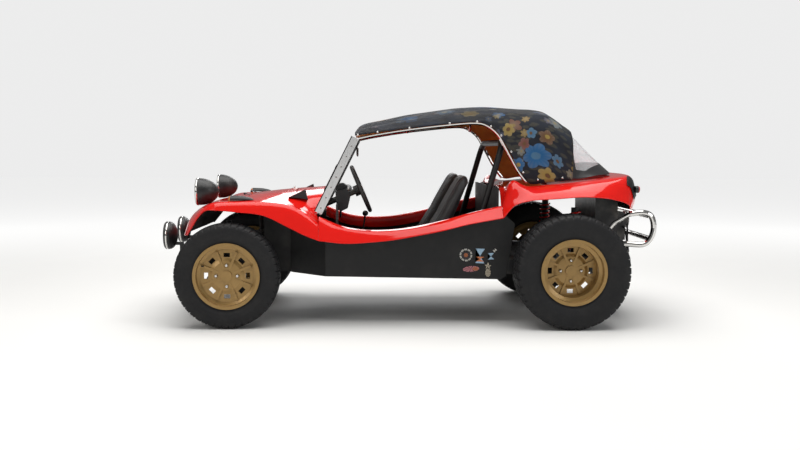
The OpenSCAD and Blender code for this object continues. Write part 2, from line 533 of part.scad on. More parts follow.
// Places the children in the windshield's plane: X up the post, Y across, Z forwards
module screen_plane() translate(screen_foot) rotate([0, -90 - screen_rake, 0]) rotate([180, 0, 0]) children();
bottom_rail = [for (y = [-1:0.1:1]) [190 - 178 * abs(y) ^ 2.6, y]];
module windshield_frame() color("silver") {
    h = screen_w / 2;
    rail_z = 6;
    screen_plane() {
        both() translate([post_start, h - post_t, -post_d / 2]) cube([post_l - post_start, post_t, post_d]);
        translate([post_l - 30, -h + post_t - gap + gap, -post_d / 2 + 4]) cube([30, screen_w - 2 * post_t, post_d - 8]);
        translate([0, 0, rail_z - 24]) linear_extrude(height = 24) polygon(concat(
            [for (p = bottom_rail) [p.x, p.y * (h - post_t)]],
            [for (k = [len(bottom_rail) - 1:-1:0]) let(p = bottom_rail[k]) [p.x + 26, p.y * (h - post_t)]]));
    }
}
module windshield_glass() color([0.8, 0.9, 0.9, 0.35]) {
    h = screen_w / 2 - post_t - gap;
    screen_plane() translate([0, 0, -glass_t / 2]) linear_extrude(height = glass_t) polygon(concat(
        [for (p = bottom_rail) [p.x + 26 + gap, p.y * h]], [[post_l - 30 - gap, h], [post_l - 30 - gap, -h]]));
}
module wipers() color("black") for (y = [-330, 60]) {
    // Spindle on the bottom rail, arm, and blade lying against the glass
    foot = 190 - 178 * abs(y / (screen_w / 2 - post_t)) ^ 2.6 + 20;
    face = glass_t / 2 + gap;
    screen_plane() {
        translate([foot, y, 6 + gap]) cylinder(d = 24, h = 32, $fn = 32);
        translate([foot, y - 5, 30]) cube([180, 10, 6]);
        translate([foot + 50, y - 4, face]) cube([210, 8, 14]);
        translate([foot + 150, y - 4, face + 10]) cube([20, 8, 24]);
    }
}

// ---------------------------------------------------------------- cabin
seat_x = cowl_x - 620;
module seat() {
    // Cushion and raked back, as one padded bucket each
    back = concat(arc(seat_x - 308, 920 + body_lift / 2, 30, 70, 250, 8), [[seat_x - 130, 410], [seat_x - 40, 410], [seat_x - 20, 436], [seat_x - 20, 470]]);
    color("black") {
        side_plate(concat([[seat_x - 20 + gap, 340], [seat_x + 240, 340]], arc(seat_x + 250, 420, 40, -60, 90, 6),
            [[seat_x - 20 + gap, 456]]), seat_y - seat_w / 2, seat_y + seat_w / 2);
        side_plate(back, seat_y - seat_w / 2 + 6, seat_y + seat_w / 2 - 6);
        // Runners to the floor
        for (y = [seat_y - 150, seat_y + 130]) translate([seat_x, y, floor_z]) cube([220, 20, 341 - floor_z]);
    }
}
module seat_left() seat();
module seat_right() mirror([0, 1, 0]) seat();
module steering_wheel() color("black") translate(wheel_c) rotate([0, -90 + column_tilt, 0]) {
    rotate_extrude($fn = 96) translate([steering_wheel_d / 2 - 13, 0]) circle(d = 26, $fn = 24);
    translate([0, 0, -46]) cylinder(d = 70, h = 50, $fn = 48);
    for (a = [0, 120, 240]) rotate([0, 0, a]) translate([20, -14, -12]) cube([steering_wheel_d / 2 - 30, 28, 6]);
}
roll_y = 505;
module roll_bar() {
    // Leaning back from the floor, over in one bend, and down the other side
    lean = unit([-87, 0, 303]);
    foot = [tub_x + 215, roll_y, floor_z + 6];
    half = concat([for (s = [0, 250, 500, 770]) foot + s * lean],
        [foot + 815 * lean - [0, 16, 0], foot + 850 * lean - [0, 70, 0], foot + 850 * lean - [0, 110, 0]]);
    color("black") tube(concat(half, [for (q = [len(half) - 1:-1:0]) [half[q].x, -half[q].y, half[q].z]]), roll_bar_d, 14);
}
module gear_lever() color("black") {
    z = pan_z + tunnel_h + gap;
    translate([seat_x + 360, -18, z]) cylinder(d = 60, h = 20, $fn = 48);
    rod([seat_x + 360, -18, z + 18], [seat_x + 330, -18, z + 230], 12);
    translate([seat_x + 330, -18, z + 240]) sphere(d = 40, $fn = 32);
    // Handbrake beside it
    rod([seat_x + 250, 26, z + 12], [seat_x + 90, 26, z + 90], 18);
    translate([seat_x + 230, 12, z]) cube([50, 28, 22]);
}

// ---------------------------------------------------------------- soft top
top_z = body_lift;
header_x = screen_foot.x - post_l * sin(screen_rake) - 8;
header_z = screen_foot.z + post_l * cos(screen_rake);
// Side tube: back along the roof edge, round the bow and down to the deck
tube_y = 534;
side_tube = [for (p = [[-11.2, -1], [-120, 22], [-330, 56], [-600, 88], [-752, 98], [-824, 78], [-890, 24],
    [-940, -60], [-1016, -198], [-1076, -276]]) [header_x + p.x, tube_y, header_z + p.y]];
bow_d = 18;
module top_frame() color("silver") {
    both() tube(curve(side_tube, 3), top_tube_d, 12);
    // Bows across, close under the cloth, from tube to tube
    for (r = [roof_half[3], roof_half[6]]) {
        half = [for (p = [for (k = [0:3]) r[k]]) [p.x, p.y * ky, p.z - cloth_t - bow_d / 2 - 3.6]];
        end = [r[5].x + 4, tube_y - 6, r[5].z - 14];
        tube(curve(whole([concat(half, [end])])[0], 2), bow_d, 10);
    }
}
roof_t = cloth_t;
// Half section of the roof: crowned from the middle at xc, then down the side to the edge at x
function roof_row(x, zs, xc, zc, ys = 566) = let(
    c = min(zc - zs, 108),
    z5 = max(lerp(zc - 0.9 * c, zs, 0.2), zs + 12),
    z4 = max(zc - 0.56 * c, z5 + 5))
    [[xc, 0, zc], [xc, 190, zc - 0.06 * c], [lerp(xc, x, 0.2), 360, zc - 0.24 * c], [lerp(xc, x, 0.4), 490, z4],
    [lerp(xc, x, 0.7), ys - 8, z5], [x, ys + 2, zs]];
hz = header_z;
hx = header_x;
roof_half = [roof_row(hx + 12, hz + 14, hx + 12, hz + 44), roof_row(hx - 30, hz + 20, hx - 34, hz + 92),
    roof_row(hx - 180, hz + 42, hx - 180, hz + 126), roof_row(hx - 370, hz + 66, hx - 360, hz + 164),
    roof_row(hx - 600, hz + 92, hx - 600, hz + 200), roof_row(hx - 752, hz + 102, hx - 740, hz + 212),
    roof_row(hx - 832, hz + 76, hx - 840, hz + 216), roof_row(hx - 892, hz + 24, hx - 930, hz + 212),
    roof_row(hx - 946, hz - 60, hx - 1010, hz + 208), roof_row(hx - 1020, hz - 192, hx - 1080, hz + 204),
    roof_row(hx - 1086, hz - 282, hx - 1160, hz + 200), roof_row(hx - 1200, hz - 274, hx - 1240, hz + 180, 574),
    roof_row(hx - 1358, hz - 260, hx - 1370, hz + 90, 574)];
module soft_top() color([0.2, 0.22, 0.3]) shell(surface_through(whole(turned(scaled_y(roof_half, ky))), 2, 2), cloth_t);
window_half = [
    [[hx - 1371, 0, hz + 86], [hx - 1369, 190, hz + 80], [hx - 1365, 340, hz + 42], [hx - 1361, 470, hz - 58], [hx - 1359, 574, hz - 256]],
    [[hx - 1470, 0, hz - 8], [hx - 1468, 190, hz - 14], [hx - 1450, 340, hz - 48], [hx - 1420, 450, hz - 128], [hx - 1390, 560, hz - 252]],
    [[hx - 1570, 0, hz - 102], [hx - 1566, 190, hz - 106], [hx - 1540, 340, hz - 130], [hx - 1500, 440, hz - 176], [hx - 1440, 540, hz - 244]],
    [[hx - 1700, 0, hz - 222], [hx - 1690, 190, hz - 223], [hx - 1650, 340, hz - 226], [hx - 1590, 430, hz - 230], [hx - 1500, 515, hz - 234]]];
module rear_window() color([0.85, 0.9, 0.92, 0.4]) shell(surface_through(whole(turned(scaled_y(window_half, ky))), 3, 2), cloth_t);

// ---------------------------------------------------------------- lamps
head_d = 170;
head_seat = on_net(front_net, 5.5, 3.28);
module headlights() color("black") both() {
    // Bowl with its rim forward, on a short stalk from the fender
    x = head_seat.x + 84;
    z = head_seat.z + 82;
    translate([x, head_seat.y, z]) rotate([0, -90, 0]) rotate_extrude($fn = 96) polygon(concat([[0, 0], [head_d / 2, 0], [head_d / 2, 22]],
        [for (k = [1:8]) [head_d / 2 * cos(k * 90 / 8.4), 22 + 118 * sin(k * 90 / 8.4)]], [[0, 140]]));
    translate(head_seat + [0, 0, 3.6]) cylinder(d = 20, h = 20, $fn = 32);
}
module fog_lamps() color("black") both() {
    d = 182;
    x = fx + front_overhang;
    z = 533;
    translate([x, lamp_y, z]) rotate([0, -90, 0]) rotate_extrude($fn = 96) polygon(concat([[0, 0], [d / 2 - 8, 0], [d / 2, 8], [d / 2, 30]],
        [for (k = [1:6]) [d / 2 * cos(k * 90 / 6.5), 30 + 50 * sin(k * 90 / 6.5)]], [[0, 80]]));
    translate([x - 119, lamp_y - 10, 430 + gap]) cube([24, 20, 60]);
    translate([x - 119, lamp_y - 10, 470]) cube([64, 20, 20]);
}
module turn_signals() both() {
    // Tear-drop housing, pointed at the rear, cut level with the fender under it
    front = on_net(front_net, 4.25, 4.7);
    rear = on_net(front_net, 3.35, 4.7);
    z = max(front.z, rear.z) + 1;
    color("black") intersection() {
        translate([rear.x, front.y, z - 4]) rotate([0, 90, 0]) rotate_extrude($fn = 64)
            polygon(concat([[0, 0]], [for (k = [1:8]) [30 * sin(k * 90 / 8), 110 * (1 - cos(k * 90 / 8))]], [[30, 146], [0, 146]]));
        translate([rear.x - 1, front.y - 40, z]) cube([160, 80, 60]);
    }
}
module tail_lights() color("maroon") both() {
    // Corner panels that lie on the skin, each with its lens
    g = moved_out(patch(rear_net, len(rear_net) - 10.8, len(rear_net) - 8.6, 4.2, 6, 8), 8 + gap);
    shell(g, 4);
    lens = g[2][3];
    translate(lens - [22, 0, 0]) rotate([0, 90, 0]) cylinder(d = 44, h = 19, $fn = 64);
}

floor_pan();
front_axle_beam();
rear_torsion_tube();
gearbox();
shock_absorbers();
knuckle_left();
knuckle_right();
steering_column();
pitman_arm();
tie_rods();
rim_front_left();
rim_front_right();
rim_rear_left();
rim_rear_right();
tyre_front_left();
tyre_front_right();
tyre_rear_left();
tyre_rear_right();
engine();
exhaust();
front_bumper();
rear_bumper();
front_body();
hood();
sills();
side_panels();
rear_body();
inner_tub();
cowl_scoops();
dashboard();
windshield_frame();
windshield_glass();
wipers();
seat_left();
seat_right();
steering_wheel();
roll_bar();
gear_lever();
top_frame();
soft_top();
rear_window();
headlights();
fog_lamps();
turn_signals();
tail_lights();
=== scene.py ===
import math

import bmesh
import bpy
import numpy as np
from mathutils import Matrix, Vector


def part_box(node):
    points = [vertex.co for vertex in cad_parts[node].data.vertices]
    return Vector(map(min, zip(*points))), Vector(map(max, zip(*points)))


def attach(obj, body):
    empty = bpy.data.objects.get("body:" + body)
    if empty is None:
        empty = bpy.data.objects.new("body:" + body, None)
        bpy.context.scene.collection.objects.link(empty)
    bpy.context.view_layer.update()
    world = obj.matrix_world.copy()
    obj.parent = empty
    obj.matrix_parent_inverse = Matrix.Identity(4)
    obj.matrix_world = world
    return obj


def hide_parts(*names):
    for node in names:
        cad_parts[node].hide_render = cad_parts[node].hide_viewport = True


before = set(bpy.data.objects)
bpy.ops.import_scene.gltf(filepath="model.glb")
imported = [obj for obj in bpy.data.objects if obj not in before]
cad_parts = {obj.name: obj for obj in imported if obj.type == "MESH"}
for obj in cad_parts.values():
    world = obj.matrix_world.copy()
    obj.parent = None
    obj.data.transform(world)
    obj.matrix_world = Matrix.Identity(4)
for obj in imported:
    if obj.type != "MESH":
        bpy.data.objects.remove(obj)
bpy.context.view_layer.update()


# ---- Studio ------------------------------------------------------------------
# A white surround, a pale floor and four soft lamps. The camera stands on the car's left, a
# little above the sills, with a normal lens.
def aim(piece, eye, forward, up):
    """Place a lamp or camera at eye, its -Z along forward and its Y near up."""
    f = Vector(forward).normalized()
    side = f.cross(Vector(up)).normalized()
    top = side.cross(f)
    turn = Matrix((side, top, -f)).transposed().to_4x4()
    piece.matrix_world = Matrix.Translation(Vector(eye)) @ turn


def look_down(yaw, pitch, roll):
    """The view's forward and up directions, from its angles in radians."""
    level = np.array([-math.sin(yaw), -math.cos(yaw), 0.0])
    right = np.array([-math.cos(yaw), math.sin(yaw), 0.0])
    up = np.array([0.0, 0.0, 1.0])
    forward = math.cos(pitch) * level - math.sin(pitch) * up
    top = math.sin(pitch) * level + math.cos(pitch) * up
    return forward, -math.sin(roll) * right + math.cos(roll) * top


camera = bpy.data.objects.new("camera", bpy.data.cameras.new("camera"))
bpy.context.scene.collection.objects.link(camera)
camera.data.sensor_width = 36.0
camera.data.lens = 42.47
camera.data.clip_end = 200.0
aim(camera, (0.3077, 6.4813, 1.1018), *look_down(0.0402, 0.0799, 0.0037))
bpy.context.scene.camera = camera


def soft_lamp(name, eye, target, size, power, tint):
    """A square area lamp at eye, facing target."""
    data = bpy.data.lights.new(name, "AREA")
    data.size = size
    data.energy = power
    data.color = tint
    lamp = bpy.data.objects.new(name, data)
    bpy.context.scene.collection.objects.link(lamp)
    aim(lamp, eye, Vector(target) - Vector(eye), (0, 0, 1))


soft_lamp("overhead", (0.0, 0.5, 6.0), (0, 0, 0.4), 7.0, 520, (1.0, 0.99, 0.97))
soft_lamp("left_front", (4.8, 5.4, 3.4), (0.2, 0, 0.6), 2.6, 80, (1.0, 0.97, 0.93))
soft_lamp("left_rear", (-5.0, 4.6, 3.0), (-0.4, 0, 0.6), 2.4, 60, (0.96, 0.98, 1.0))
soft_lamp("far_side", (0.0, -5.6, 3.6), (0, 0, 0.6), 3.0, 110, (1.0, 1.0, 1.0))

world = bpy.data.worlds.new("studio")
world.use_nodes = True
world.node_tree.nodes["Background"].inputs["Color"].default_value = (0.98, 0.98, 0.98, 1)
# White to the camera, dimmer as a light, so that black paint stays black
seen = world.node_tree.nodes.new("ShaderNodeLightPath").outputs["Is Camera Ray"]
level = world.node_tree.nodes.new("ShaderNodeMapRange")
level.inputs["To Min"].default_value, level.inputs["To Max"].default_value = 0.22, 0.86
world.node_tree.links.new(seen, level.inputs["Value"])
world.node_tree.links.new(level.outputs["Result"], world.node_tree.nodes["Background"].inputs["Strength"])
bpy.context.scene.view_settings.view_transform = "Standard"
bpy.context.scene.world = world


# ---- Wheels ------------------------------------------------------------------
# Fifteen inch steel wheels in gold paint, eight slots round a pressed disc, with
# wide deep-dish rims at the rear. All-terrain tyres are mounted on them.
#
# Every finish is a shader graph written as arithmetic. Wire is one socket of a
# finish; Finish is the material itself.
class Wire:
    """A socket. Arithmetic on it adds the Math nodes that do the same."""

    def __init__(self, finish, socket):
        self.finish, self.socket = finish, socket

    def math(self, operation, *others):
        return self.finish.node("Math", {"operation": operation},
                                dict(enumerate((self,) + others)))

    def __add__(self, other):
        return self.math("ADD", other)

    def __mul__(self, other):
        return self.math("MULTIPLY", other)

    def __sub__(self, other):
        return self.math("SUBTRACT", other)

    def __truediv__(self, other):
        return self.math("DIVIDE", other)

    def __rsub__(self, other):
        return self * -1.0 + other

    def __pow__(self, other):
        return self.math("POWER", other)

    def __lt__(self, other):
        return self.math("LESS_THAN", other)

    def __gt__(self, other):
        return self.math("GREATER_THAN", other)

    __radd__, __rmul__ = __add__, __mul__

    def ramp(self, low, high):
        """0 below low, 1 above high, and smooth in between."""
        return self.finish.node("MapRange", {"interpolation_type": "SMOOTHSTEP"},
                                {"Value": self, "From Min": low, "From Max": high})


class Finish:
    """A named material with one Principled shader."""

    def __init__(self, name, colour, rough, metal=0.0, **rest):
        self.material = bpy.data.materials.new(name)
        self.material.use_nodes = True
        self.tree = self.material.node_tree
        self.shader = self.tree.nodes["Principled BSDF"]
        self.material.diffuse_color = (*colour[:3], 1)
        self.set(**{"Base Color": (*colour[:3], 1), "Roughness": rough, "Metallic": metal}, **rest)

    def set(self, **sockets):
        for name, value in sockets.items():
            self.join(value, self.shader.inputs[name.replace("_", " ")])
        return self

    def join(self, value, socket):
        if isinstance(value, Wire):
            self.tree.links.new(value.socket, socket)
        else:
            socket.default_value = value

    def node(self, kind, settings=None, sockets=None, out=0):
        """Add any node: its settings first, then its sockets' values or links."""
        made = self.tree.nodes.new("ShaderNode" + kind)
        for name, value in (settings or {}).items():
            if name == "stops":
                for k, (place, colour) in enumerate(value):
                    stop = made.color_ramp.elements[k] if k < 2 else made.color_ramp.elements.new(place)
                    stop.position, stop.color = place, (*colour, 1)
            else:
                setattr(made, name, value)
        for name, value in (sockets or {}).items():
            self.join(value, made.inputs[name])
        return Wire(self, made.outputs[out])

    def place(self):
        """Object coordinates, in metres."""
        return self.node("TexCoord", out="Object")

    def split(self, vector):
        """The X, Y and Z of a vector, as three wires."""
        made = self.tree.nodes.new("ShaderNodeSeparateXYZ")
        self.join(vector, made.inputs[0])
        return [Wire(self, socket) for socket in made.outputs]

    def scaled(self, vector, scale):
        return self.node("VectorMath", {"operation": "MULTIPLY"}, {0: vector, 1: scale})

    def noise(self, scale, detail=3.0, vector=None, rough=0.5):
        return self.node("TexNoise", None, {"Vector": vector or self.place(), "Scale": scale,
                                            "Detail": detail, "Roughness": rough})

    def blend(self, factor, first, second):
        """The first colour where factor is 0, the second where it is 1."""
        return self.node("Mix", {"data_type": "RGBA"}, {0: factor, 6: first, 7: second}, out=2)

    def relief(self, height, depth, strength=1.0):
        """Bump by a height of 0 to 1, depth metres deep."""
        self.set(Normal=self.node("Bump", None, {"Height": height, "Distance": depth,
                                                 "Strength": strength}))
        return self


def shade(colour):
    return (*colour, 1.0)


def finish_node(node, finish):
    """Give a CAD node's object a finish in all its slots."""
    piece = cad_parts[node]
    if not piece.material_slots:
        piece.data.materials.append(finish.material)
    for k in range(len(piece.material_slots)):
        piece.material_slots[k].material = finish.material


def worn_paint(name, colour, rough, grain=160.0, dust=(0.25, 0.22, 0.18), amount=0.25, **rest):
    """Satin paint with faint mottling, dust in broad patches, and orange peel."""
    made = Finish(name, colour, rough, **rest)
    spots = made.noise(9.0, 5.0).ramp(0.45, 0.75) * amount
    made.set(**{"Base Color": made.blend(spots, shade(colour), shade(dust))})
    made.set(Roughness=made.noise(30.0, 4.0) * 0.25 + (rough - 0.1))
    return made.relief(made.noise(grain, 2.0), 0.0004, 0.35)


INCH_RIM = 0.1905
WHEELS = {
    "front_left": (1.137, 0.6595, 0.325, 0.325, 0.187, 0.152, "wheel_front_left"),
    "front_right": (1.137, -0.6595, 0.325, 0.325, 0.187, 0.152, "wheel_front_right"),
    "rear_left": (-0.985, 0.7205, 0.355, 0.355, 0.254, 0.203, "wheel_rear_left"),
    "rear_right": (-0.985, -0.7205, 0.355, 0.355, 0.254, 0.203, "wheel_rear_right"),
}


def skin(name, points, loop_rows=False, loop_columns=False, keep=None, smooth=True):
    """A grid of points (rows, columns, xyz) as a mesh of quads.

    Quad (i, j) joins points (i, j), (i+1, j), (i+1, j+1) and (i, j+1); the last
    row or column joins the first again where it loops, and keep masks quads.
    """
    rows, columns = points.shape[:2]
    i, j = np.meshgrid(np.arange(rows if loop_rows else rows - 1),
                       np.arange(columns if loop_columns else columns - 1), indexing="ij")
    if keep is not None:
        i, j = i[keep], j[keep]
    a, b = (i % rows) * columns, ((i + 1) % rows) * columns
    c, d = j % columns, (j + 1) % columns
    quads = np.stack([a + c, b + c, b + d, a + d], axis=-1).reshape(-1, 4)
    return mesh_piece(name, points.reshape(-1, 3), quads, smooth)


def mesh_piece(name, points, faces, smooth=True):
    """A mesh object from arrays of points and of equal-sided faces, loose points dropped."""
    used, faces = np.unique(faces, return_inverse=True)
    faces = faces.reshape(-1, faces.shape[-1] if faces.ndim > 1 else 4)
    points = np.asarray(points, float)[used]
    mesh = bpy.data.meshes.new(name)
    sides = faces.shape[1]
    mesh.vertices.add(len(points))
    mesh.vertices.foreach_set("co", points.ravel())
    mesh.loops.add(faces.size)
    mesh.loops.foreach_set("vertex_index", faces.ravel().astype(np.int32))
    mesh.polygons.add(len(faces))
    mesh.polygons.foreach_set("loop_start", np.arange(0, faces.size, sides, dtype=np.int32))
    mesh.polygons.foreach_set("use_smooth", np.full(len(faces), smooth))
    mesh.update(calc_edges=True)
    mesh.validate()
    piece = bpy.data.objects.new(name, mesh)
    bpy.context.scene.collection.objects.link(piece)
    return piece


def dress(piece, finish, body, replaces=()):
    """Finish a piece, let it ride on its body and hide the CAD parts it replaces."""
    piece.data.materials.clear()
    piece.data.materials.append(finish.material)
    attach(piece, body)
    if replaces:
        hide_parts(*replaces)
    return piece


def wave(x):
    """A triangle wave between 0 and 1 with period 1."""
    return np.abs((x % 1.0) * 2.0 - 1.0)


def soft_step(x, low, high):
    """0 below low, 1 above high, with a smooth rise."""
    t = np.clip((x - low) / (high - low), 0, 1)
    return t * t * (3 - 2 * t)


def tread(turn, across, blocks):
    """Height of the tread, 0 in a groove to 1 on a block.

    turn is 0 to 1 round the tyre and across is -1 to 1 over the tread. Two
    zigzag grooves run round it, a straight sipe runs down the middle, and each
    rib is cut into blocks by slanted grooves, staggered from rib to rib.
    """
    cell = turn * blocks
    sway = 0.07 * (wave(cell) - 0.5)
    height = soft_step(np.abs(np.abs(across) - 0.30 - sway), 0.025, 0.05)
    height *= soft_step(np.abs(np.abs(across) - 0.66 + sway), 0.035, 0.06)
    rib = np.digitize(across, [-0.66, -0.3, 0.0, 0.3, 0.66])
    slant = np.where(rib % 2, 0.5, -0.5) * across
    gap = np.abs(((cell + 0.37 * rib + slant) % 1.0) - 0.5)
    height *= soft_step(gap, 0.05, 0.10)
    sipe = np.abs(((2 * cell + 0.7 * rib - slant) % 1.0) - 0.5)
    return height * (0.72 + 0.28 * soft_step(sipe, 0.03, 0.06))


def tyre(name, x, y, z, radius, width, rim_width, body):
    """A profile carried round the axle, its radius lowered by the tread's grooves.

    The profile runs from bead to bead: a bulging wall, a round shoulder, and a
    crown that falls away slightly from the middle.
    """
    bead, half, shoulder = INCH_RIM + 0.0005, rim_width / 2 - 0.006, 0.026
    top = radius - 0.0005
    wall = np.linspace(0, 1, 15)
    side_r = bead + 0.018 + (top - shoulder - bead - 0.018) * wall
    side_w = half + (width / 2 - half) * np.sin(wall * math.radians(112)) / math.sin(math.radians(90))
    arc = np.radians(np.linspace(0, 82, 9))[1:]
    arc_r = top - shoulder - 0.004 + shoulder * np.sin(arc)
    arc_w = side_w[-1] - shoulder + shoulder * np.cos(arc)
    crown_w = np.linspace(arc_w[-1], 0, 30)[1:]
    crown_r = top - (top - arc_r[-1]) * (crown_w / arc_w[-1]) ** 2
    radii = np.concatenate([[bead, bead + 0.008], side_r, arc_r, crown_r])
    widths = np.concatenate([[half, half], side_w, arc_w, crown_w])
    radii = np.concatenate([radii, radii[-2::-1]])
    widths = np.concatenate([widths, -widths[-2::-1]])
    steps = 576
    turn = (np.arange(steps) / steps)[:, None]
    across = (widths / (width / 2))[None, :]
    on_tread = soft_step(radii, top - 0.030, top - 0.012)[None, :]
    cut = 0.0085 * on_tread * (1 - tread(turn + 0 * across, across, 46))
    ribs = 0.0012 * (wave(radii / 0.009)[None, :] > 0.7) * (1 - on_tread) * (widths != half)[None, :]
    r = radii[None, :] - cut + 0 * turn
    w = widths[None, :] + np.sign(widths)[None, :] * ribs * (radii > bead + 0.03)[None, :]
    angle = 2 * math.pi * turn
    points = np.stack([x + r * np.cos(angle), y + w + 0 * turn, z + r * np.sin(angle)], axis=-1)
    flat = half * np.linspace(-1, 1, 4)[None, 1:-1] + 0 * turn
    inner = np.stack([x + bead * np.cos(angle) + 0 * flat, y + flat, z + bead * np.sin(angle) + 0 * flat],
                     axis=-1)
    whole = np.concatenate([points, inner], axis=1)
    piece = skin("tread_tyre_" + name, whole, loop_rows=True, loop_columns=True)
    return dress(piece, rubber, body, ["tyre_" + name])


rubber = Finish("tyre_rubber", (0.010, 0.010, 0.011), 0.7, **{"Specular IOR Level": 0.3})
dusty = rubber.noise(14.0, 6.0).ramp(0.42, 0.72) * 0.35
rubber.set(**{"Base Color": rubber.blend(dusty, shade((0.007, 0.007, 0.008)),
                                         shade((0.018, 0.017, 0.016)))})
rubber.set(Roughness=rubber.noise(55.0, 4.0) * 0.3 + 0.45)
rubber.relief(rubber.noise(420.0, 3.0), 0.0003, 0.5)
gold = Finish("wheel_gold_paint", (0.30, 0.185, 0.062), 0.36, 0.6,
              **{"Coat Weight": 0.25, "Coat Roughness": 0.2})
gold_patch = gold.noise(26.0, 5.0).ramp(0.5, 0.8) * 0.4
gold.set(**{"Base Color": gold.blend(gold_patch, shade((0.31, 0.19, 0.062)), shade((0.18, 0.12, 0.048)))})
gold.set(Roughness=gold.noise(70.0, 4.0) * 0.25 + 0.24)
gold.relief(gold.noise(600.0, 2.0), 0.0001, 0.5)
chrome = Finish("chrome_plate", (0.66, 0.65, 0.63), 0.08, 1.0)
chrome.set(Roughness=chrome.noise(40.0, 5.0).ramp(0.45, 0.9) * 0.18 + 0.04)


def turned(name, profile, centre, axis, steps=48):
    """A closed or open profile of (radius, along) turned about axis through centre."""
    profile = np.asarray(profile, float)
    along = np.asarray(axis, float) / np.linalg.norm(axis)
    first = np.cross(along, [0.0, 0.0, 1.0] if abs(along[2]) < 0.9 else [1.0, 0.0, 0.0])
    first /= np.linalg.norm(first)
    second = np.cross(along, first)
    angle = 2 * math.pi * np.arange(steps)[:, None] / steps
    points = (np.asarray(centre)[None, None, :] + profile[None, :, 1, None] * along
              + profile[None, :, 0,
                        None] * (np.cos(angle)[..., None] * first + np.sin(angle)[..., None] * second))
    return skin(name, points, loop_rows=True, loop_columns=True)


def join(name, *pieces):
    """Join pieces into one object, with doubles merged and faces turned outwards."""
    bpy.ops.object.select_all(action="DESELECT")
    for piece in pieces:
        piece.select_set(True)
    bpy.context.view_layer.objects.active = pieces[0]
    if len(pieces) > 1:
        bpy.ops.object.join()
    made = pieces[0]
    made.name = made.data.name = name
    mesh = bmesh.new()
    mesh.from_mesh(made.data)
    bmesh.ops.remove_doubles(mesh, verts=mesh.verts, dist=1e-5)
    bmesh.ops.dissolve_degenerate(mesh, edges=mesh.edges, dist=1e-6)
    bmesh.ops.recalc_face_normals(mesh, faces=mesh.faces)
    mesh.to_mesh(made.data)
    mesh.free()
    return made


def capsule(radius, length, nose=0.35):
    """Profile of a short pin with a rounded end: (radius, along) pairs."""
    bend = np.radians(np.linspace(0, 90, 6))
    return [(0, 0), (radius, 0), (radius, length * (1 - nose))] + [
        (radius * math.cos(b), length * (1 - nose) + length * nose * math.sin(b)) for b in bend[1:]]


for name, (x, y, z, radius, width, rim_width, body) in WHEELS.items():
    tyre(name, x, y, z, radius, width, rim_width, body)
    finish_node("rim_" + name, gold)
    out = math.copysign(1.0, y)
    face = y + out * (0.044 if name.startswith("front") else -0.005)
    nuts = []
    for k in range(4):
        a = math.radians(90 * k)
        spot = (x + 0.065 * math.cos(a), face + out * 0.001, z + 0.065 * math.sin(a))
        nuts.append(turned("nut", capsule(0.0095, 0.016), spot, (0, out, 0), 6))
    dress(join("wheel_nuts_" + name, *nuts), chrome, body)
    stem_at = (x + 0.150 * math.cos(0.4), face - out * 0.010, z + 0.150 * math.sin(0.4))
    stem = turned("stem", [(0, 0), (0.005, 0), (0.005, 0.018), (0.004, 0.020), (0.004, 0.030), (0, 0.031)],
                  stem_at, (0.35, out, 0.15), 16)
    dress(join("valve_stem_" + name, stem), rubber, body)


# ---- Body shell --------------------------------------------------------------
# One glossy moulded shell in coloured gelcoat: nose, fenders and cowl in one, a
# rolled sill on each side, and a rear body round the luggage shelf and engine.
FRONT_HALF = np.array([
    [(-614, 0, 852), (-612, 150, 848), (-603, 300, 830), (-583, 420, 788), (-548, 530, 698),
     (-561, 610, 652), (-561, 668, 628), (-561, 700, 540)],
    [(-500, 0, 842), (-500, 150, 839), (-500, 300, 826), (-500, 420, 798), (-490, 530, 738),
     (-480, 610, 714), (-475, 668, 690), (-472, 700, 575)],
    [(-400, 0, 836), (-400, 150, 833), (-400, 300, 822), (-395, 420, 803), (-390, 530, 776),
     (-380, 610, 760), (-372, 668, 742), (-368, 700, 627)],
    [(-220, 0, 818), (-220, 150, 816), (-220, 300, 809), (-220, 420, 800), (-220, 530, 790),
     (-220, 620, 781), (-220, 672, 765), (-220, 700, 696)],
    [(-50, 0, 792), (-50, 150, 792), (-50, 300, 790), (-50, 420, 786), (-50, 530, 784),
     (-50, 625, 780), (-50, 676, 767), (-50, 700, 717)],
    [(90, 0, 768), (90, 150, 767), (88, 300, 763), (85, 420, 760), (82, 530, 768), (78, 620, 774),
     (75, 672, 764), (75, 698, 728)],
    [(190, 0, 741), (189, 150, 740), (184, 300, 736), (177, 420, 732), (164, 530, 740),
     (150, 604, 744), (140, 650, 738), (133, 678, 724)],
    [(256, 0, 702), (254, 150, 702), (246, 300, 700), (234, 420, 698), (218, 520, 698),
     (200, 588, 696), (190, 622, 690), (182, 646, 680)],
    [(306, 0, 640), (303, 150, 640), (294, 300, 640), (280, 410, 638), (262, 496, 636),
     (242, 556, 634), (230, 586, 632), (220, 606, 626)],
    [(338, 0, 542), (335, 150, 542), (326, 300, 544), (312, 400, 548), (296, 470, 554),
     (282, 512, 560), (274, 534, 562), (268, 548, 560)]])
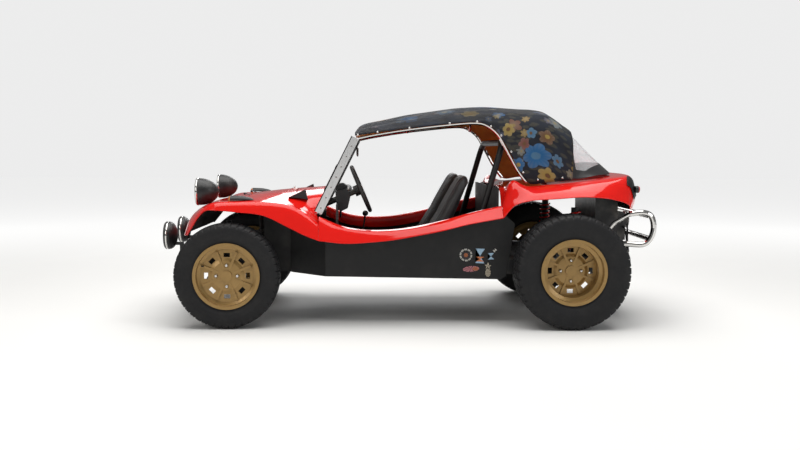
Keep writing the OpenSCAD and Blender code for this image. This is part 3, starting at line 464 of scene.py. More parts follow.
REAR_HALF = np.array([
    [(421, 0, 872), (421, 200, 872), (421, 400, 868), (421, 520, 840), (421, 588, 740),
     (421, 606, 752), (421, 640, 749), (421, 668, 718), (421, 700, 682)],
    [(385, 0, 874), (385, 200, 874), (385, 400, 872), (385, 500, 868), (385, 560, 866),
     (385, 606, 862), (385, 642, 830), (385, 680, 760), (385, 706, 728)],
    [(345, 0, 876), (345, 200, 876), (345, 400, 876), (345, 500, 880), (345, 560, 900),
     (345, 604, 911), (345, 646, 880), (345, 690, 792), (345, 716, 766)],
    [(250, 0, 880), (250, 200, 880), (250, 400, 878), (250, 500, 876), (250, 560, 876),
     (250, 604, 872), (250, 650, 856), (250, 700, 822), (250, 730, 792)],
    [(100, 0, 892), (100, 200, 892), (100, 400, 890), (100, 500, 889), (100, 560, 888),
     (100, 610, 884), (100, 665, 870), (100, 722, 840), (100, 756, 804)],
    [(-60, 0, 908), (-60, 200, 908), (-60, 400, 906), (-60, 500, 905), (-60, 560, 903),
     (-60, 610, 899), (-60, 665, 884), (-60, 724, 850), (-60, 760, 815)],
    [(-220, 0, 926), (-220, 200, 926), (-220, 400, 924), (-220, 500, 923), (-218, 560, 920),
     (-214, 608, 914), (-210, 660, 896), (-206, 712, 850), (-202, 742, 807)],
    [(-370, 0, 940), (-368, 200, 940), (-356, 400, 938), (-346, 500, 936), (-336, 560, 932),
     (-326, 604, 922), (-318, 648, 890), (-312, 684, 832), (-310, 706, 785)],
    [(-450, 0, 944), (-446, 200, 944), (-430, 400, 942), (-414, 500, 938), (-400, 560, 930),
     (-388, 600, 912), (-376, 636, 872), (-364, 664, 812), (-358, 684, 768)],
    [(-476, 0, 900), (-472, 200, 900), (-456, 400, 898), (-440, 500, 893), (-424, 558, 886),
     (-410, 596, 868), (-396, 628, 836), (-380, 654, 792), (-372, 672, 758)],
    [(-488, 0, 800), (-484, 200, 800), (-470, 400, 800), (-455, 500, 800), (-440, 556, 798),
     (-424, 592, 794), (-408, 622, 784), (-392, 646, 768), (-382, 664, 748)],
    [(-466, 0, 716), (-462, 200, 716), (-448, 400, 718), (-434, 500, 720), (-420, 554, 724),
     (-406, 588, 730), (-394, 616, 734), (-384, 640, 738), (-378, 658, 736)]])
SILL_MARKS = [[0, 682, 628, 540], [0.14, 621, 604, 523], [0.27, 601, 590, 530], [0.4, 604, 594, 545],
              [0.52, 622, 611, 569], [0.66, 656, 640, 600], [0.8, 700, 672, 640], [0.9, 728, 696, 662],
              [1, 752, 718, 682]]


def along(points, t):
    """The points of the smooth curve through points at places t, counted in points.

    Each stretch is the cubic whose slope at a point is half the step between
    its two neighbours; the end points have mirrored neighbours.
    """
    t = np.asarray(t, float)
    p = np.concatenate([[2 * points[0] - points[1]], points, [2 * points[-1] - points[-2]]])
    i = np.clip(t.astype(int), 0, len(points) - 2)
    f = (t - i).reshape((-1,) + (1,) * (points.ndim - 1))
    a, b, c, d = p[i], p[i + 1], p[i + 2], p[i + 3]
    bend = (2 * a - 5 * b + 4 * c - d) * f ** 2 + (3 * b - a - 3 * c + d) * f ** 3
    return 0.5 * (2 * b + (c - a) * f + bend)


def curve(points, n):
    """The smooth curve through points (first axis), n steps between neighbours."""
    return along(points, np.arange(n * (len(points) - 1) + 1) / n)


def surface(net, n_rows, n_columns):
    """The smooth surface through a net of points, by curves across and then along."""
    across = np.swapaxes(curve(np.swapaxes(net, 0, 1), n_columns), 0, 1)
    return curve(across, n_rows)


def both_sides(half):
    """A half net from the middle out, with its mirrored half put before it."""
    return np.concatenate([half[:, :0:-1] * [1, -1, 1], half], axis=1)


def walled(piece, thickness, bevel=0.0, inward=-1.0):
    """Give a skin its wall on the inner side, and round the wall's edges."""
    wall = piece.modifiers.new("wall", "SOLIDIFY")
    wall.thickness, wall.offset = thickness, inward
    wall.use_even_offset = True
    if bevel:
        edge = piece.modifiers.new("edge", "BEVEL")
        edge.width, edge.segments, edge.limit_method = bevel, 2, "ANGLE"
        edge.angle_limit = math.radians(50)
        edge.harden_normals = False
    return piece


gelcoat = Finish("red_gelcoat", (0.70, 0.010, 0.006), 0.22,
                 **{"Coat Weight": 0.35, "Coat Roughness": 0.05, "Specular IOR Level": 0.25})
fade = gelcoat.noise(2.6, 3.0).ramp(0.35, 0.75)
gelcoat.set(**{"Base Color": gelcoat.blend(fade, shade((0.72, 0.010, 0.006)), shade((0.62, 0.009, 0.006)))})
film = gelcoat.noise(11.0, 6.0).ramp(0.5, 0.85)
gelcoat.set(Roughness=film * 0.18 + 0.10)
gelcoat.relief(gelcoat.noise(9.0, 1.0), 0.0012, 0.35)

# Black for the inner side of the body walls: painted shade, standing in for red gelcoat walls that lie in
# shade.
inner_shade_black = worn_paint("painted_shade_black", (0.012, 0.012, 0.013), 0.6, amount=0.1)


def paint_inner_shade(piece):
    """Paint the wall's inner side black: painted shade for the red wall's shaded inner side."""
    piece.data.materials.append(inner_shade_black.material)
    piece.modifiers["wall"].material_offset = 1


front_net = both_sides(FRONT_HALF / 1000 + [1.137, 0, 0])
rear_net = both_sides(REAR_HALF / 1000 + [-0.985, 0, 0])[::-1]
BODY_WALL = 0.006
FINE = 8
HOOD_ROWS, HOOD_COLUMNS, MIDDLE = (2, 4), 2, 7
front_points = surface(front_net, FINE, FINE)
cell_row, cell_column = np.meshgrid(np.arange(front_points.shape[0] - 1),
                                    np.arange(front_points.shape[1] - 1),
                                    indexing="ij")
in_hood = ((cell_row >= HOOD_ROWS[0] * FINE) & (cell_row < HOOD_ROWS[1] * FINE)
           & (cell_column >= (MIDDLE - HOOD_COLUMNS) * FINE)
           & (cell_column < (MIDDLE + HOOD_COLUMNS) * FINE))
front_shell = walled(skin("front_shell", front_points, keep=~in_hood), BODY_WALL, 0.0022)
dress(front_shell, gelcoat, "car", ["front_body"])
paint_inner_shade(front_shell)

rows = HOOD_ROWS[0] + 6 / 180 + np.linspace(0, 1, 41) * (HOOD_ROWS[1] - HOOD_ROWS[0] - 6 / 180 - 6 / 170)
columns = MIDDLE - HOOD_COLUMNS + 6 / 150 + np.linspace(0, 1, 61) * 2 * (HOOD_COLUMNS - 6 / 150)
hood_points = along(np.swapaxes(along(np.swapaxes(front_net, 0, 1), columns), 0, 1), rows)
hood_skin = walled(skin("hood_skin", hood_points), BODY_WALL, 0.002)
dress(hood_skin, gelcoat, "hood", ["hood"])

tail_points = surface(rear_net, 6, 6)
rear_shell = walled(skin("rear_shell", tail_points), BODY_WALL, 0.0022)
dress(rear_shell, gelcoat, "car", ["rear_body"])
paint_inner_shade(rear_shell)

sill_net = np.array([[(x, 584, top - 80), (x, 588, top - 16), (x, 606, top), (x, 640, top - 3),
                      (x, 668, crease), (x, 700, lip)]
                     for x, top, crease,
                     lip in ((576 - 1140 * m, t, k, l) for m, t, k, l in SILL_MARKS)]) / 1000
sill_points = surface(sill_net, 10, 5)
left_sill = walled(skin("sill", sill_points[::-1]), BODY_WALL, 0.002)
right_sill = walled(skin("sill", sill_points * [1, -1, 1]), BODY_WALL, 0.002)
# The sills' inner side gets the same black, painted shade for their red inner wall in shade.
for piece in (left_sill, right_sill):
    piece.data.materials.append(gelcoat.material)
    piece.data.materials.append(inner_shade_black.material)
    piece.modifiers["wall"].material_offset = 1
    bpy.context.view_layer.objects.active = piece
    piece.select_set(True)
    for modifier in list(piece.modifiers):
        bpy.ops.object.modifier_apply(modifier=modifier.name)
sills = join("rolled_sills", left_sill, right_sill)
wall_side = np.zeros(len(sills.data.polygons), np.int32)
sills.data.polygons.foreach_get("material_index", wall_side)
dress(sills, gelcoat, "car", ["sills"])
sills.data.materials.append(inner_shade_black.material)
sills.data.polygons.foreach_set("material_index", wall_side)


# ---- Hood fittings -----------------------------------------------------------
# The hood turns on two black steel hinges at its front edge. A T handle with a
# spring catch holds it down in front of the windshield.
fittings = worn_paint("black_fittings", (0.009, 0.009, 0.010), 0.38, amount=0.05)
catch = along(along(front_net.swapaxes(0, 1), [7.0]).swapaxes(0, 1), [2.2])[0, 0]
knob = turned("knob", [(0, -0.004), (0.008, -0.004), (0.008, 0.010), (0, 0.010)], catch, (0, 0, 1), 32)
bar = turned("bar",
             [(0, -0.026), (0.003, -0.026), (0.0045, -0.024), (0.0045, 0.024), (0.003, 0.026), (0, 0.026)],
             catch + [0, 0, 0.012], (0, 1, 0), 24)
plate = turned("plate", [(0, 0.0), (0.022, 0.0), (0.0215, 0.003), (0.008, 0.004), (0, 0.004)], catch,
               (0, 0, 1), 40)
dress(join("hood_catch", knob, bar, plate), chrome, "hood")
HINGE_X, HINGE_Y, HINGE_Z = 1.084, 0.190, 0.806
EYE_HALF, PIN_HALF, PIN_OFFSET = 0.012, 0.0055, 0.0185


def hinge_barrel(name, y, half):
    """A round piece on the hinge line, reaching half to each side of y."""
    outline = [(0.0, -half), (0.007, -half), (0.007, half), (0.0, half)]
    return turned(name, outline, (HINGE_X, y, HINGE_Z), (0, 1, 0), 32)


leaves = []
for side in (-1, 1):
    y = side * HINGE_Y
    leaves.append(hinge_barrel("eye", y, EYE_HALF))
    leaf = np.array([[[HINGE_X - 0.034, y + v, HINGE_Z - 0.006], [HINGE_X - 0.020, y + v, HINGE_Z - 0.004],
                      [HINGE_X - 0.006, y + v, HINGE_Z + 0.002]]
                     for v in np.linspace(-EYE_HALF, EYE_HALF, 5)])
    strap = walled(skin("leaf", leaf), 0.003, inward=0)
    bpy.context.view_layer.objects.active = strap
    bpy.ops.object.modifier_apply(modifier="wall")
    leaves.append(strap)
dress(join("hood_hinge_leaves", *leaves), fittings, "hood")
fixed = []
for side in (-1, 1):
    for offset in (-PIN_OFFSET, PIN_OFFSET):
        fixed.append(hinge_barrel("knuckle", side * HINGE_Y + offset, PIN_HALF))
dress(join("hood_hinge_pins", *fixed), fittings, "car")


# ---- Side panels, floor and tub ----------------------------------------------
# Satin black steel panels close the sides under the sills and turn in past the
# footwell. Decals are stuck on the left one: a ring, a tall box, a square, a
# diamond, a star and rounded patches, with no words.
satin = worn_paint("satin_black_panel", (0.006, 0.006, 0.0065), 0.45, amount=0.02,
                   **{"Specular IOR Level": 0.35})
tub_paint = worn_paint("tub_black", (0.008, 0.008, 0.0085), 0.6, amount=0.06)
finish_node("side_panels", satin)
for node in ("floor_pan", "inner_tub"):
    finish_node(node, tub_paint)


def patch(name, outline, colour, rough=0.35, y=0.6066, thick=0.0006):
    """A flat decal cut to an outline of (x, z) points, standing just off the panel."""
    outline = np.asarray(outline, float)
    n = len(outline)
    middle = outline.mean(axis=0)
    front = np.column_stack([outline[:, 0], np.full(n, y + thick), outline[:, 1]])
    back = np.column_stack([outline[:, 0], np.full(n, y), outline[:, 1]])
    points = np.concatenate([front, back, [[middle[0], y + thick, middle[1]], [middle[0], y, middle[1]]]])
    k = np.arange(n)
    nxt = (k + 1) % n
    faces = np.concatenate([np.stack([k, nxt, np.full(n, 2 * n)], 1),
                            np.stack([nxt + n, k + n, np.full(n, 2 * n + 1)], 1),
                            np.stack([k, k + n, nxt + n], 1), np.stack([k, nxt + n, nxt], 1)])
    made = join(name, mesh_piece(name, points, faces, smooth=False))
    return dress(made, sticker(name + "_ink", colour, rough), "car")


def sticker(name, colour, rough):
    """Printed vinyl, a little faded and scuffed."""
    ink = Finish(name, colour, rough)
    scuff = ink.noise(60.0, 5.0).ramp(0.55, 0.8) * 0.35
    ink.set(**{"Base Color": ink.blend(scuff, shade(colour), shade(tuple(0.6 * c + 0.06 for c in colour)))})
    ink.set(Roughness=ink.noise(80.0, 3.0) * 0.2 + rough - 0.1)
    return ink.relief(ink.noise(300.0, 2.0), 0.0001, 0.3)


def ring(cx, cz, rx, rz, n=40, turn=0.0):
    """An oval outline."""
    a = 2 * math.pi * np.arange(n) / n
    c, s = math.cos(turn), math.sin(turn)
    x, z = rx * np.cos(a), rz * np.sin(a)
    return np.column_stack([cx + c * x - s * z, cz + s * x + c * z])


def box_outline(cx, cz, w, h, turn=0.0):
    """A rectangle's outline, turned in its plane."""
    c, s = math.cos(turn), math.sin(turn)
    x, z = np.array([-w, w, w, -w]) / 2, np.array([-h, -h, h, h]) / 2
    return np.column_stack([cx + c * x - s * z, cz + s * x + c * z])


def star(cx, cz, r, n=5):
    """A star's outline with n points."""
    a = math.pi / 2 + math.pi * np.arange(2 * n) / n
    rr = np.where(np.arange(2 * n) % 2, 0.45 * r, r)
    return np.column_stack([cx + rr * np.cos(a), cz + rr * np.sin(a)])


# Decals on the left panel, (x, z) in metres, with their colours
WHITE, PALE_BLUE, ORANGE = (0.62, 0.61, 0.56), (0.28, 0.42, 0.55), (0.55, 0.17, 0.06)
PINK, CREAM = (0.6, 0.22, 0.25), (0.55, 0.48, 0.36)
patch("decal_ring", ring(-0.344, 0.442, 0.040, 0.040), WHITE)
patch("decal_ring_core", ring(-0.344, 0.442, 0.030, 0.030), (0.03, 0.03, 0.035), y=0.6073)
patch("decal_ring_dot", ring(-0.344, 0.442, 0.013, 0.013), ORANGE, y=0.6080)
patch("decal_tall", box_outline(-0.433, 0.436, 0.058, 0.092, 0.03), PALE_BLUE)
patch("decal_tall_band", box_outline(-0.433, 0.416, 0.052, 0.030, 0.03), ORANGE, y=0.6073)
patch("decal_square", box_outline(-0.502, 0.434, 0.040, 0.040, -0.04), PALE_BLUE)
patch("decal_diamond", box_outline(-0.527, 0.471, 0.020, 0.020, 0.78), WHITE)
patch("decal_blob", ring(-0.377, 0.354, 0.052, 0.018, turn=-0.08), PINK)
patch("decal_blob_end", ring(-0.405, 0.355, 0.020, 0.012), ORANGE, y=0.6073)
patch("decal_star", star(-0.484, 0.372, 0.024), CREAM)
patch("decal_oval", ring(-0.484, 0.330, 0.017, 0.026), CREAM)


# ---- Chassis and running gear ------------------------------------------------
# A shortened steel floor pan with twin torsion tubes in front, spring plates and
# a transaxle behind, all painted black and dusty from the road.
iron = worn_paint("chassis_paint", (0.018, 0.018, 0.019), 0.45, amount=0.5)
for node in ("front_axle_beam", "knuckle_left", "knuckle_right", "tie_rods", "pitman_arm",
             "steering_column", "rear_torsion_tube", "shock_absorbers"):
    finish_node(node, iron)
alloy = Finish("cast_alloy", (0.30, 0.30, 0.31), 0.5, 0.7)
grime = alloy.noise(16.0, 6.0).ramp(0.42, 0.7)
alloy.set(**{"Base Color": alloy.blend(grime, shade((0.36, 0.36, 0.37)), shade((0.09, 0.08, 0.07)))})
alloy.set(Roughness=alloy.noise(40.0, 4.0) * 0.3 + 0.35, Metallic=1.0 - grime * 0.6)
alloy.relief(alloy.noise(260.0, 3.0), 0.0008, 0.5)
finish_node("gearbox", alloy)
black_tin = worn_paint("engine_tin", (0.015, 0.015, 0.016), 0.33, amount=0.35)
finish_node("engine", black_tin)

def rod_path(name, path, radius, sides=12, closed=False):
    """A tube of the radius carried along a path, its ring square to the path.

    The ring's first direction is the least-turning one: each step keeps the
    last direction, less its part along the path.
    """
    path = np.asarray(path, float)
    step = np.gradient(path, axis=0)
    step /= np.linalg.norm(step, axis=1)[:, None]
    side = np.zeros_like(path)
    start = np.cross(step[0], [0.0, 0.0, 1.0] if abs(step[0][2]) < 0.9 else [1.0, 0.0, 0.0])
    side[0] = start / np.linalg.norm(start)
    for k in range(1, len(path)):
        v = side[k - 1] - step[k] * np.dot(side[k - 1], step[k])
        side[k] = v / np.linalg.norm(v)
    other = np.cross(step, side)
    angle = 2 * math.pi * np.arange(sides) / sides
    radius = np.broadcast_to(radius, (len(path),))
    ring_cos, ring_sin = np.cos(angle)[None, :, None], np.sin(angle)[None, :, None]
    points = path[:, None] + radius[:, None, None] * (ring_cos * side[:, None] + ring_sin * other[:, None])
    if closed:
        return skin(name, points, loop_rows=True, loop_columns=True)
    ends = np.broadcast_to(path[[0, -1]][:, None], (2, sides, 3))
    return skin(name, np.concatenate([ends[:1], points, ends[1:]]), loop_columns=True)


# Coil springs round the two rear dampers
TURNS, COIL_RADIUS, WIRE_RADIUS = 8, 0.034, 0.0055
springs = []
for side in (1, -1):
    foot = np.array([-1.047, side * 0.5305, 0.345])
    head = np.array([-1.055, side * 0.4905, 0.735])
    t = np.linspace(0.30, 0.93, 220)
    axis = (head - foot) / np.linalg.norm(head - foot)
    u = np.cross(axis, [0, 1, 0])
    u /= np.linalg.norm(u)
    v = np.cross(axis, u)
    a = 2 * math.pi * TURNS * (t - 0.30) / 0.63
    coil = COIL_RADIUS * (np.cos(a)[:, None] * u + np.sin(a)[:, None] * v)
    path = foot + t[:, None] * (head - foot) + coil
    springs.append(rod_path("coil", path, WIRE_RADIUS, 8))
dress(join("rear_coil_springs", *springs), gelcoat, "car")


# ---- Engine ------------------------------------------------------------------
# An air-cooled flat four hangs behind the transaxle: finned barrels on each
# side, a fan housing above, a belt from crank to dynamo, and an air cleaner.
steel = Finish("bare_steel", (0.42, 0.42, 0.43), 0.35, 0.95)
steel.set(Roughness=steel.noise(60.0, 4.0) * 0.3 + 0.25)
steel.set(**{"Base Color": steel.blend(steel.noise(18.0, 5.0).ramp(0.45, 0.8) * 0.5,
                                       shade((0.24, 0.23, 0.22)), shade((0.10, 0.08, 0.065)))})
steel.relief(steel.noise(300.0, 2.0), 0.0002, 0.4)
fins = []
for side in (1, -1):
    for x in (-1.395, -1.255):
        for k in range(9):
            y = side * (0.20 + 0.017 * k)
            fins.append(turned("fin", [(0.040, -0.002), (0.0735, -0.002), (0.0735, 0.002), (0.040, 0.002)],
                               (x, y, 0.375), (0, 1, 0), 28))
dress(join("cylinder_fins", *fins), alloy, "car")
covers = []
for side in (1, -1):
    t = np.linspace(0, 2 * math.pi, 49)[:-1]
    rows = []
    for r, out in ((1.0, 0.0), (1.0, 0.014), (0.93, 0.022), (0.80, 0.025), (0.0, 0.026)):
        rows.append(np.column_stack([-1.325 + r * 0.122 * np.sign(np.cos(t)) * np.abs(np.cos(t)) ** 0.5,
                                     np.full(48, side * (0.371 + out)),
                                     0.380 + r * 0.052 * np.sign(np.sin(t)) * np.abs(np.sin(t)) ** 0.5]))
    rows.insert(0, rows[0] * [0, 1, 0] + [-1.325, 0, 0.380])
    covers.append(skin("cover", np.array(rows), loop_columns=True))
dress(join("valve_covers", *covers), chrome, "car")
back_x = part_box("engine")[0][0]
pulley = turned("pulley", [(0, -0.012), (0.085, -0.012), (0.088, -0.008), (0.076, 0), (0.088, 0.008),
                           (0.085, 0.012), (0.03, 0.012), (0.02, 0.02), (0, 0.02)],
                (back_x - 0.006, 0, 0.345), (-1, 0, 0), 56)
small = turned("small", [(0, -0.012), (0.058, -0.012), (0.061, -0.008), (0.05, 0), (0.061, 0.008),
                         (0.058, 0.012), (0.02, 0.012), (0.012, 0.02), (0, 0.02)],
               (back_x - 0.006, 0, 0.625), (-1, 0, 0), 48)
dress(join("engine_pulleys", pulley, small), steel, "car")
loop_angle = math.asin((0.078 - 0.052) / 0.28)
low_arc = np.linspace(math.pi - loop_angle, 2 * math.pi + loop_angle, 40)
high_arc = np.linspace(loop_angle, math.pi - loop_angle, 30)
belt = np.concatenate([np.column_stack([0.078 * np.cos(low_arc), 0.345 + 0.078 * np.sin(low_arc)]),
                       np.column_stack([0.052 * np.cos(high_arc), 0.625 + 0.052 * np.sin(high_arc)])])
belt_path = np.column_stack([np.full(len(belt), back_x - 0.006), belt])
dress(join("fan_belt", rod_path("fan_belt", belt_path, 0.006, 8, closed=True)), rubber, "car")
leads = []
for k, y in enumerate((0.30, 0.26, -0.26, -0.30)):
    t = np.linspace(0, 1, 24)[:, None]
    a = np.array([back_x + 0.03, 0.08 if y > 0 else -0.02, 0.57 + 0.01 * k])
    b = np.array([back_x + 0.05, y, 0.43])
    leads.append(rod_path("lead", a + (b - a) * t + [0, 0, 0.05] * np.sin(math.pi * t), 0.0038, 8))
dress(join("ignition_leads", *leads), rubber, "car")
finish_node("exhaust", steel)


# ---- Bumpers -----------------------------------------------------------------
# Bent tubes with chrome plate. The tubes that hold the soft top are plated too.
for node in ("front_bumper", "rear_bumper", "top_frame"):
    finish_node(node, chrome)


# ---- Windshield --------------------------------------------------------------
# Flat laminated glass in a riveted aluminium frame, raked back, with rubber
# beads on both sides of each post and two wipers on the bottom rail.
aluminium = Finish("brushed_aluminium", (0.62, 0.62, 0.63), 0.32, 1.0)
brush = aluminium.noise(38.0, 4.0, aluminium.scaled(aluminium.place(), (6.0, 6.0, 0.6)))
aluminium.set(Roughness=brush * 0.3 + 0.2)
aluminium.set(**{"Base Color": aluminium.blend(brush.ramp(0.3, 0.8), shade((0.80, 0.80, 0.80)),
                                               shade((0.66, 0.66, 0.66)))})
aluminium.relief(brush, 0.0002, 0.4)
finish_node("windshield_frame", aluminium)
glass = Finish("windshield_glass", (0.93, 0.97, 0.96), 0.02,
               **{"Alpha": 0.16, "IOR": 1.45, "Specular IOR Level": 0.6})
glass.set(Roughness=glass.noise(7.0, 5.0).ramp(0.55, 0.9) * 0.12 + 0.02)
finish_node("windshield_glass", glass)
finish_node("wipers", fittings)
SCREEN_FOOT, RAKE, SCREEN_HALF = np.array([0.591, 0.0, 0.6847]), math.radians(26.4), 0.56


def on_screen(up, across, forward):
    """A place in the windshield's plane: up the posts, across the car, and forwards of it."""
    up, across, forward = np.broadcast_arrays(up, across, forward)
    return SCREEN_FOOT + np.stack([-up * math.sin(RAKE) + forward * math.cos(RAKE), across,
                                   up * math.cos(RAKE) + forward * math.sin(RAKE)], axis=-1)


rivets, beads = [], []
for side in (1, -1):
    for k in range(7):
        spot = on_screen(0.055 + 0.072 * k, side * SCREEN_HALF, 0.0)
        rivets.append(turned("rivet", [(0, -0.001), (0.0048, -0.001), (0.0046, 0.0008), (0.0030, 0.0020),
                                       (0, 0.0024)],
                             spot, (0, side, 0), 16))
    for forward in (-0.0245, 0.0245):
        up = np.linspace(0.022, 0.545, 60)
        beads.append(rod_path("bead", on_screen(up, side * (SCREEN_HALF - 0.008), forward), 0.0052, 10))
dress(join("post_rivets", *rivets), steel, "car")
across = np.linspace(-1, 1, 81)
low_line = (190 - 178 * np.abs(across) ** 2.6) / 1000
inner_y = across * (SCREEN_HALF - 0.030)
for forward in (0.0055, -0.0055):
    beads.append(rod_path("bead", on_screen(low_line + 0.030, inner_y, forward), 0.0042, 10))
    beads.append(rod_path("bead", on_screen(0.5115 + 0 * across, inner_y, forward), 0.0042, 10))
    for side in (1, -1):
        up = np.linspace(0.065, 0.508, 40)
        beads.append(rod_path("bead", on_screen(up, side * (SCREEN_HALF - 0.0265), forward), 0.0042, 10))
dress(join("glass_seals", *beads), rubber, "car")
base_y = across * (SCREEN_HALF - 0.004)
seal = rod_path("cowl_seal", on_screen(low_line - 0.003, base_y, -0.004), 0.0065, 10)
dress(join("cowl_seal", seal), rubber, "car")


# ---- Cabin -------------------------------------------------------------------
# Black dash with a hooded binnacle, a padded three-spoke wheel on the column,
# a roll bar behind the seats, and levers on the tunnel.
moulded = worn_paint("black_moulding", (0.009, 0.009, 0.010), 0.5, grain=700.0, amount=0.06)
finish_node("dashboard", moulded)
finish_node("gear_lever", moulded)
finish_node("roll_bar", satin)
wheel_skin = Finish("wheel_leather", (0.016, 0.015, 0.015), 0.48)
pebble = wheel_skin.node("TexVoronoi", {"feature": "DISTANCE_TO_EDGE"},
                         {"Scale": 520.0, "Vector": wheel_skin.place()})
wheel_skin.relief(pebble.ramp(0.0, 0.14), 0.0003, 0.6)
wheel_skin.set(Roughness=wheel_skin.noise(40.0, 3.0) * 0.2 + 0.38)
finish_node("steering_wheel", wheel_skin)
HUB, TILT = np.array([0.316, 0.320, 0.845]), math.radians(23.2)
COLUMN = np.array([math.cos(TILT), 0, -math.sin(TILT)])
cap = turned("horn",
             [(0, -0.006), (0.027, -0.006), (0.027, 0.004), (0.022, 0.009), (0.010, 0.011), (0, 0.0115)],
             HUB - COLUMN * 0.004, -COLUMN, 40)
dress(join("horn_button", cap), chrome, "steering_wheel")
dials = []
for y, r in ((0.320, 0.030), (0.245, 0.021), (0.395, 0.021)):
    dials.append(turned("bezel", [(0, 0.0), (r + 0.004, 0.0), (r + 0.004, 0.007), (r, 0.009),
                                  (r - 0.001, 0.003), (0, 0.002)],
                        (0.3995, y, 0.822), (-1, 0, 0.12), 36))
dress(join("dash_dials", *dials), chrome, "car")

# Interior mirror on its stalk, under the top rail
mirror_at = on_screen(0.470, 0.0, -0.055)
glass_back = turned("mirror", [(0, 0), (0.9, 0.0), (1.0, 0.12), (0.98, 0.2), (0.7, 0.32), (0, 0.36)],
                    (0, 0, 0), (1, 0, 0), 48)
stretch = np.array([0.045, 0.115, 0.030])
place = np.array([v.co for v in glass_back.data.vertices]) * stretch + mirror_at
glass_back.data.vertices.foreach_set("co", place.ravel())
stalk = rod_path("stalk", np.linspace(mirror_at + [0.010, 0, 0.015], on_screen(0.528, 0.0, -0.012), 8),
                 0.005, 12)
dress(join("interior_mirror", glass_back, stalk), fittings, "car")


# ---- Lamps -------------------------------------------------------------------
# Black bowls with chrome rims and fluted lenses; fog lamps with white covers;
# amber tear-drops on the fenders; red and amber lenses on the black tail panels.
for node in ("headlights", "fog_lamps", "turn_signals", "cowl_scoops", "tail_lights"):
    finish_node(node, fittings)
lens_glass = Finish("fluted_lens", (0.86, 0.88, 0.88), 0.08,
                    **{"Coat Weight": 1.0, "Coat Roughness": 0.02, "Specular IOR Level": 0.7})
_, ly, _ = lens_glass.split(lens_glass.place())
flutes = (ly * 620.0).math("SINE")
# The lens colour is banded with the flutes, pale on each crest and darker in each trough: painted highlight
# and painted shade.
lens_glass.set(**{"Base Color": lens_glass.blend(flutes * 0.25 + 0.5, shade((0.75, 0.77, 0.78)),
                                                 shade((0.95, 0.96, 0.96)))})
lens_glass.set(Roughness=lens_glass.noise(30.0, 3.0) * 0.1 + 0.05)
lens_glass.relief(flutes * 0.5 + 0.5, 0.0012, 0.7)
head_high = np.array(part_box("headlights")[1])
head_x, head_z, head_y = head_high[0], head_high[2] - 0.085, head_high[1] - 0.085
fog_high = np.array(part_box("fog_lamps")[1])
fog_x, fog_z, fog_y = fog_high[0], 0.533, fog_high[1] - 0.091
rims, lenses, covers = [], [], []
for side in (1, -1):
    rims.append(turned("rim", [(0.072, 0.000), (0.0865, -0.014), (0.0875, -0.004), (0.0845, 0.001),
                               (0.078, 0.003), (0.072, 0.0015)],
                       (head_x - 0.001, side * head_y, head_z), (1, 0, 0), 72))
    bulge = [(0.075 * math.sin(a), -0.0012 + 0.0030 * math.cos(a) ** 2) for a in np.linspace(0.1, 1.57, 9)]
    lenses.append(turned("lens", [(0, 0.0016)] + bulge + [(0.075, -0.004), (0, -0.004)],
                         (head_x, side * head_y, head_z), (1, 0, 0), 72))
    covers.append(turned("cover", [(0, 0.0025), (0.050, 0.0015), (0.074, -0.003), (0.082, -0.008),
                                   (0.082, -0.012), (0, -0.012)],
                         (fog_x - 0.001, side * fog_y, fog_z), (1, 0, 0), 72))
    rims.append(turned("rim", [(0.0825, -0.004), (0.0922, -0.016), (0.0925, -0.026), (0.0895, -0.028),
                               (0.0825, -0.010)],
                       (fog_x, side * fog_y, fog_z), (1, 0, 0), 72))
dress(join("lamp_rims", *rims), chrome, "car")
dress(join("headlamp_lenses", *lenses), lens_glass, "car")
white_cover = worn_paint("white_cover", (0.66, 0.66, 0.64), 0.4, amount=0.15)
dress(join("fog_lamp_covers", *covers), white_cover, "car")


def clear_plastic(name, colour):
    """Moulded lens plastic: a glossy colour with fine prism ribs."""
    made = Finish(name, colour, 0.12, **{"Coat Weight": 1.0, "Coat Roughness": 0.03})
    _, y, z = made.split(made.place())
    made.set(**{"Base Color": made.blend(made.noise(24.0, 3.0).ramp(0.35, 0.7), shade(colour),
                                         shade(tuple(0.7 * c for c in colour)))})
    made.set(Roughness=made.noise(50.0, 2.0) * 0.1 + 0.08)
    return made.relief((z * 900.0).math("SINE") * 0.5 + 0.5, 0.0006, 0.6)


amber = clear_plastic("amber_lens", (0.62, 0.17, 0.01))
red_lens = clear_plastic("red_lens", (0.45, 0.008, 0.008))
signal_high = np.array(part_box("turn_signals")[1])
signal_z = signal_high[2] - 0.030
ambers, reds = [], []
for side in (1, -1):
    y = side * (signal_high[1] - 0.030)
    dome = turned("dome", [(0, 0.016), (0.012, 0.0145), (0.021, 0.010), (0.026, 0.003), (0.027, -0.002),
                           (0, -0.002)],
                  (signal_high[0] + 0.0005, y, signal_z + 0.003), (1, 0, 0), 40)
    ambers.append(dome)
for side in (1, -1):
    reds.append(turned("tail", [(0, 0.010), (0.016, 0.009), (0.021, 0.005), (0.022, 0.0), (0, 0.0)],
                       np.array([-1.4305, 0.5948, 0.8556]) * [1, side, 1], (-1, 0, 0), 40))
dress(join("turn_signal_lenses", *ambers), amber, "car")
dress(join("tail_lamp_lenses", *reds), red_lens, "car")


# ---- Soft top ----------------------------------------------------------------
# One canvas sheet, cut 1.45 m long and 1.90 m across, buttoned to the windshield
# rail, stretched over two bows and the chrome side tubes, and snapped round the
# rear deck. It is printed with large flowers and has a tan lining.
HEADER = np.array([0.3407, 1.1729])


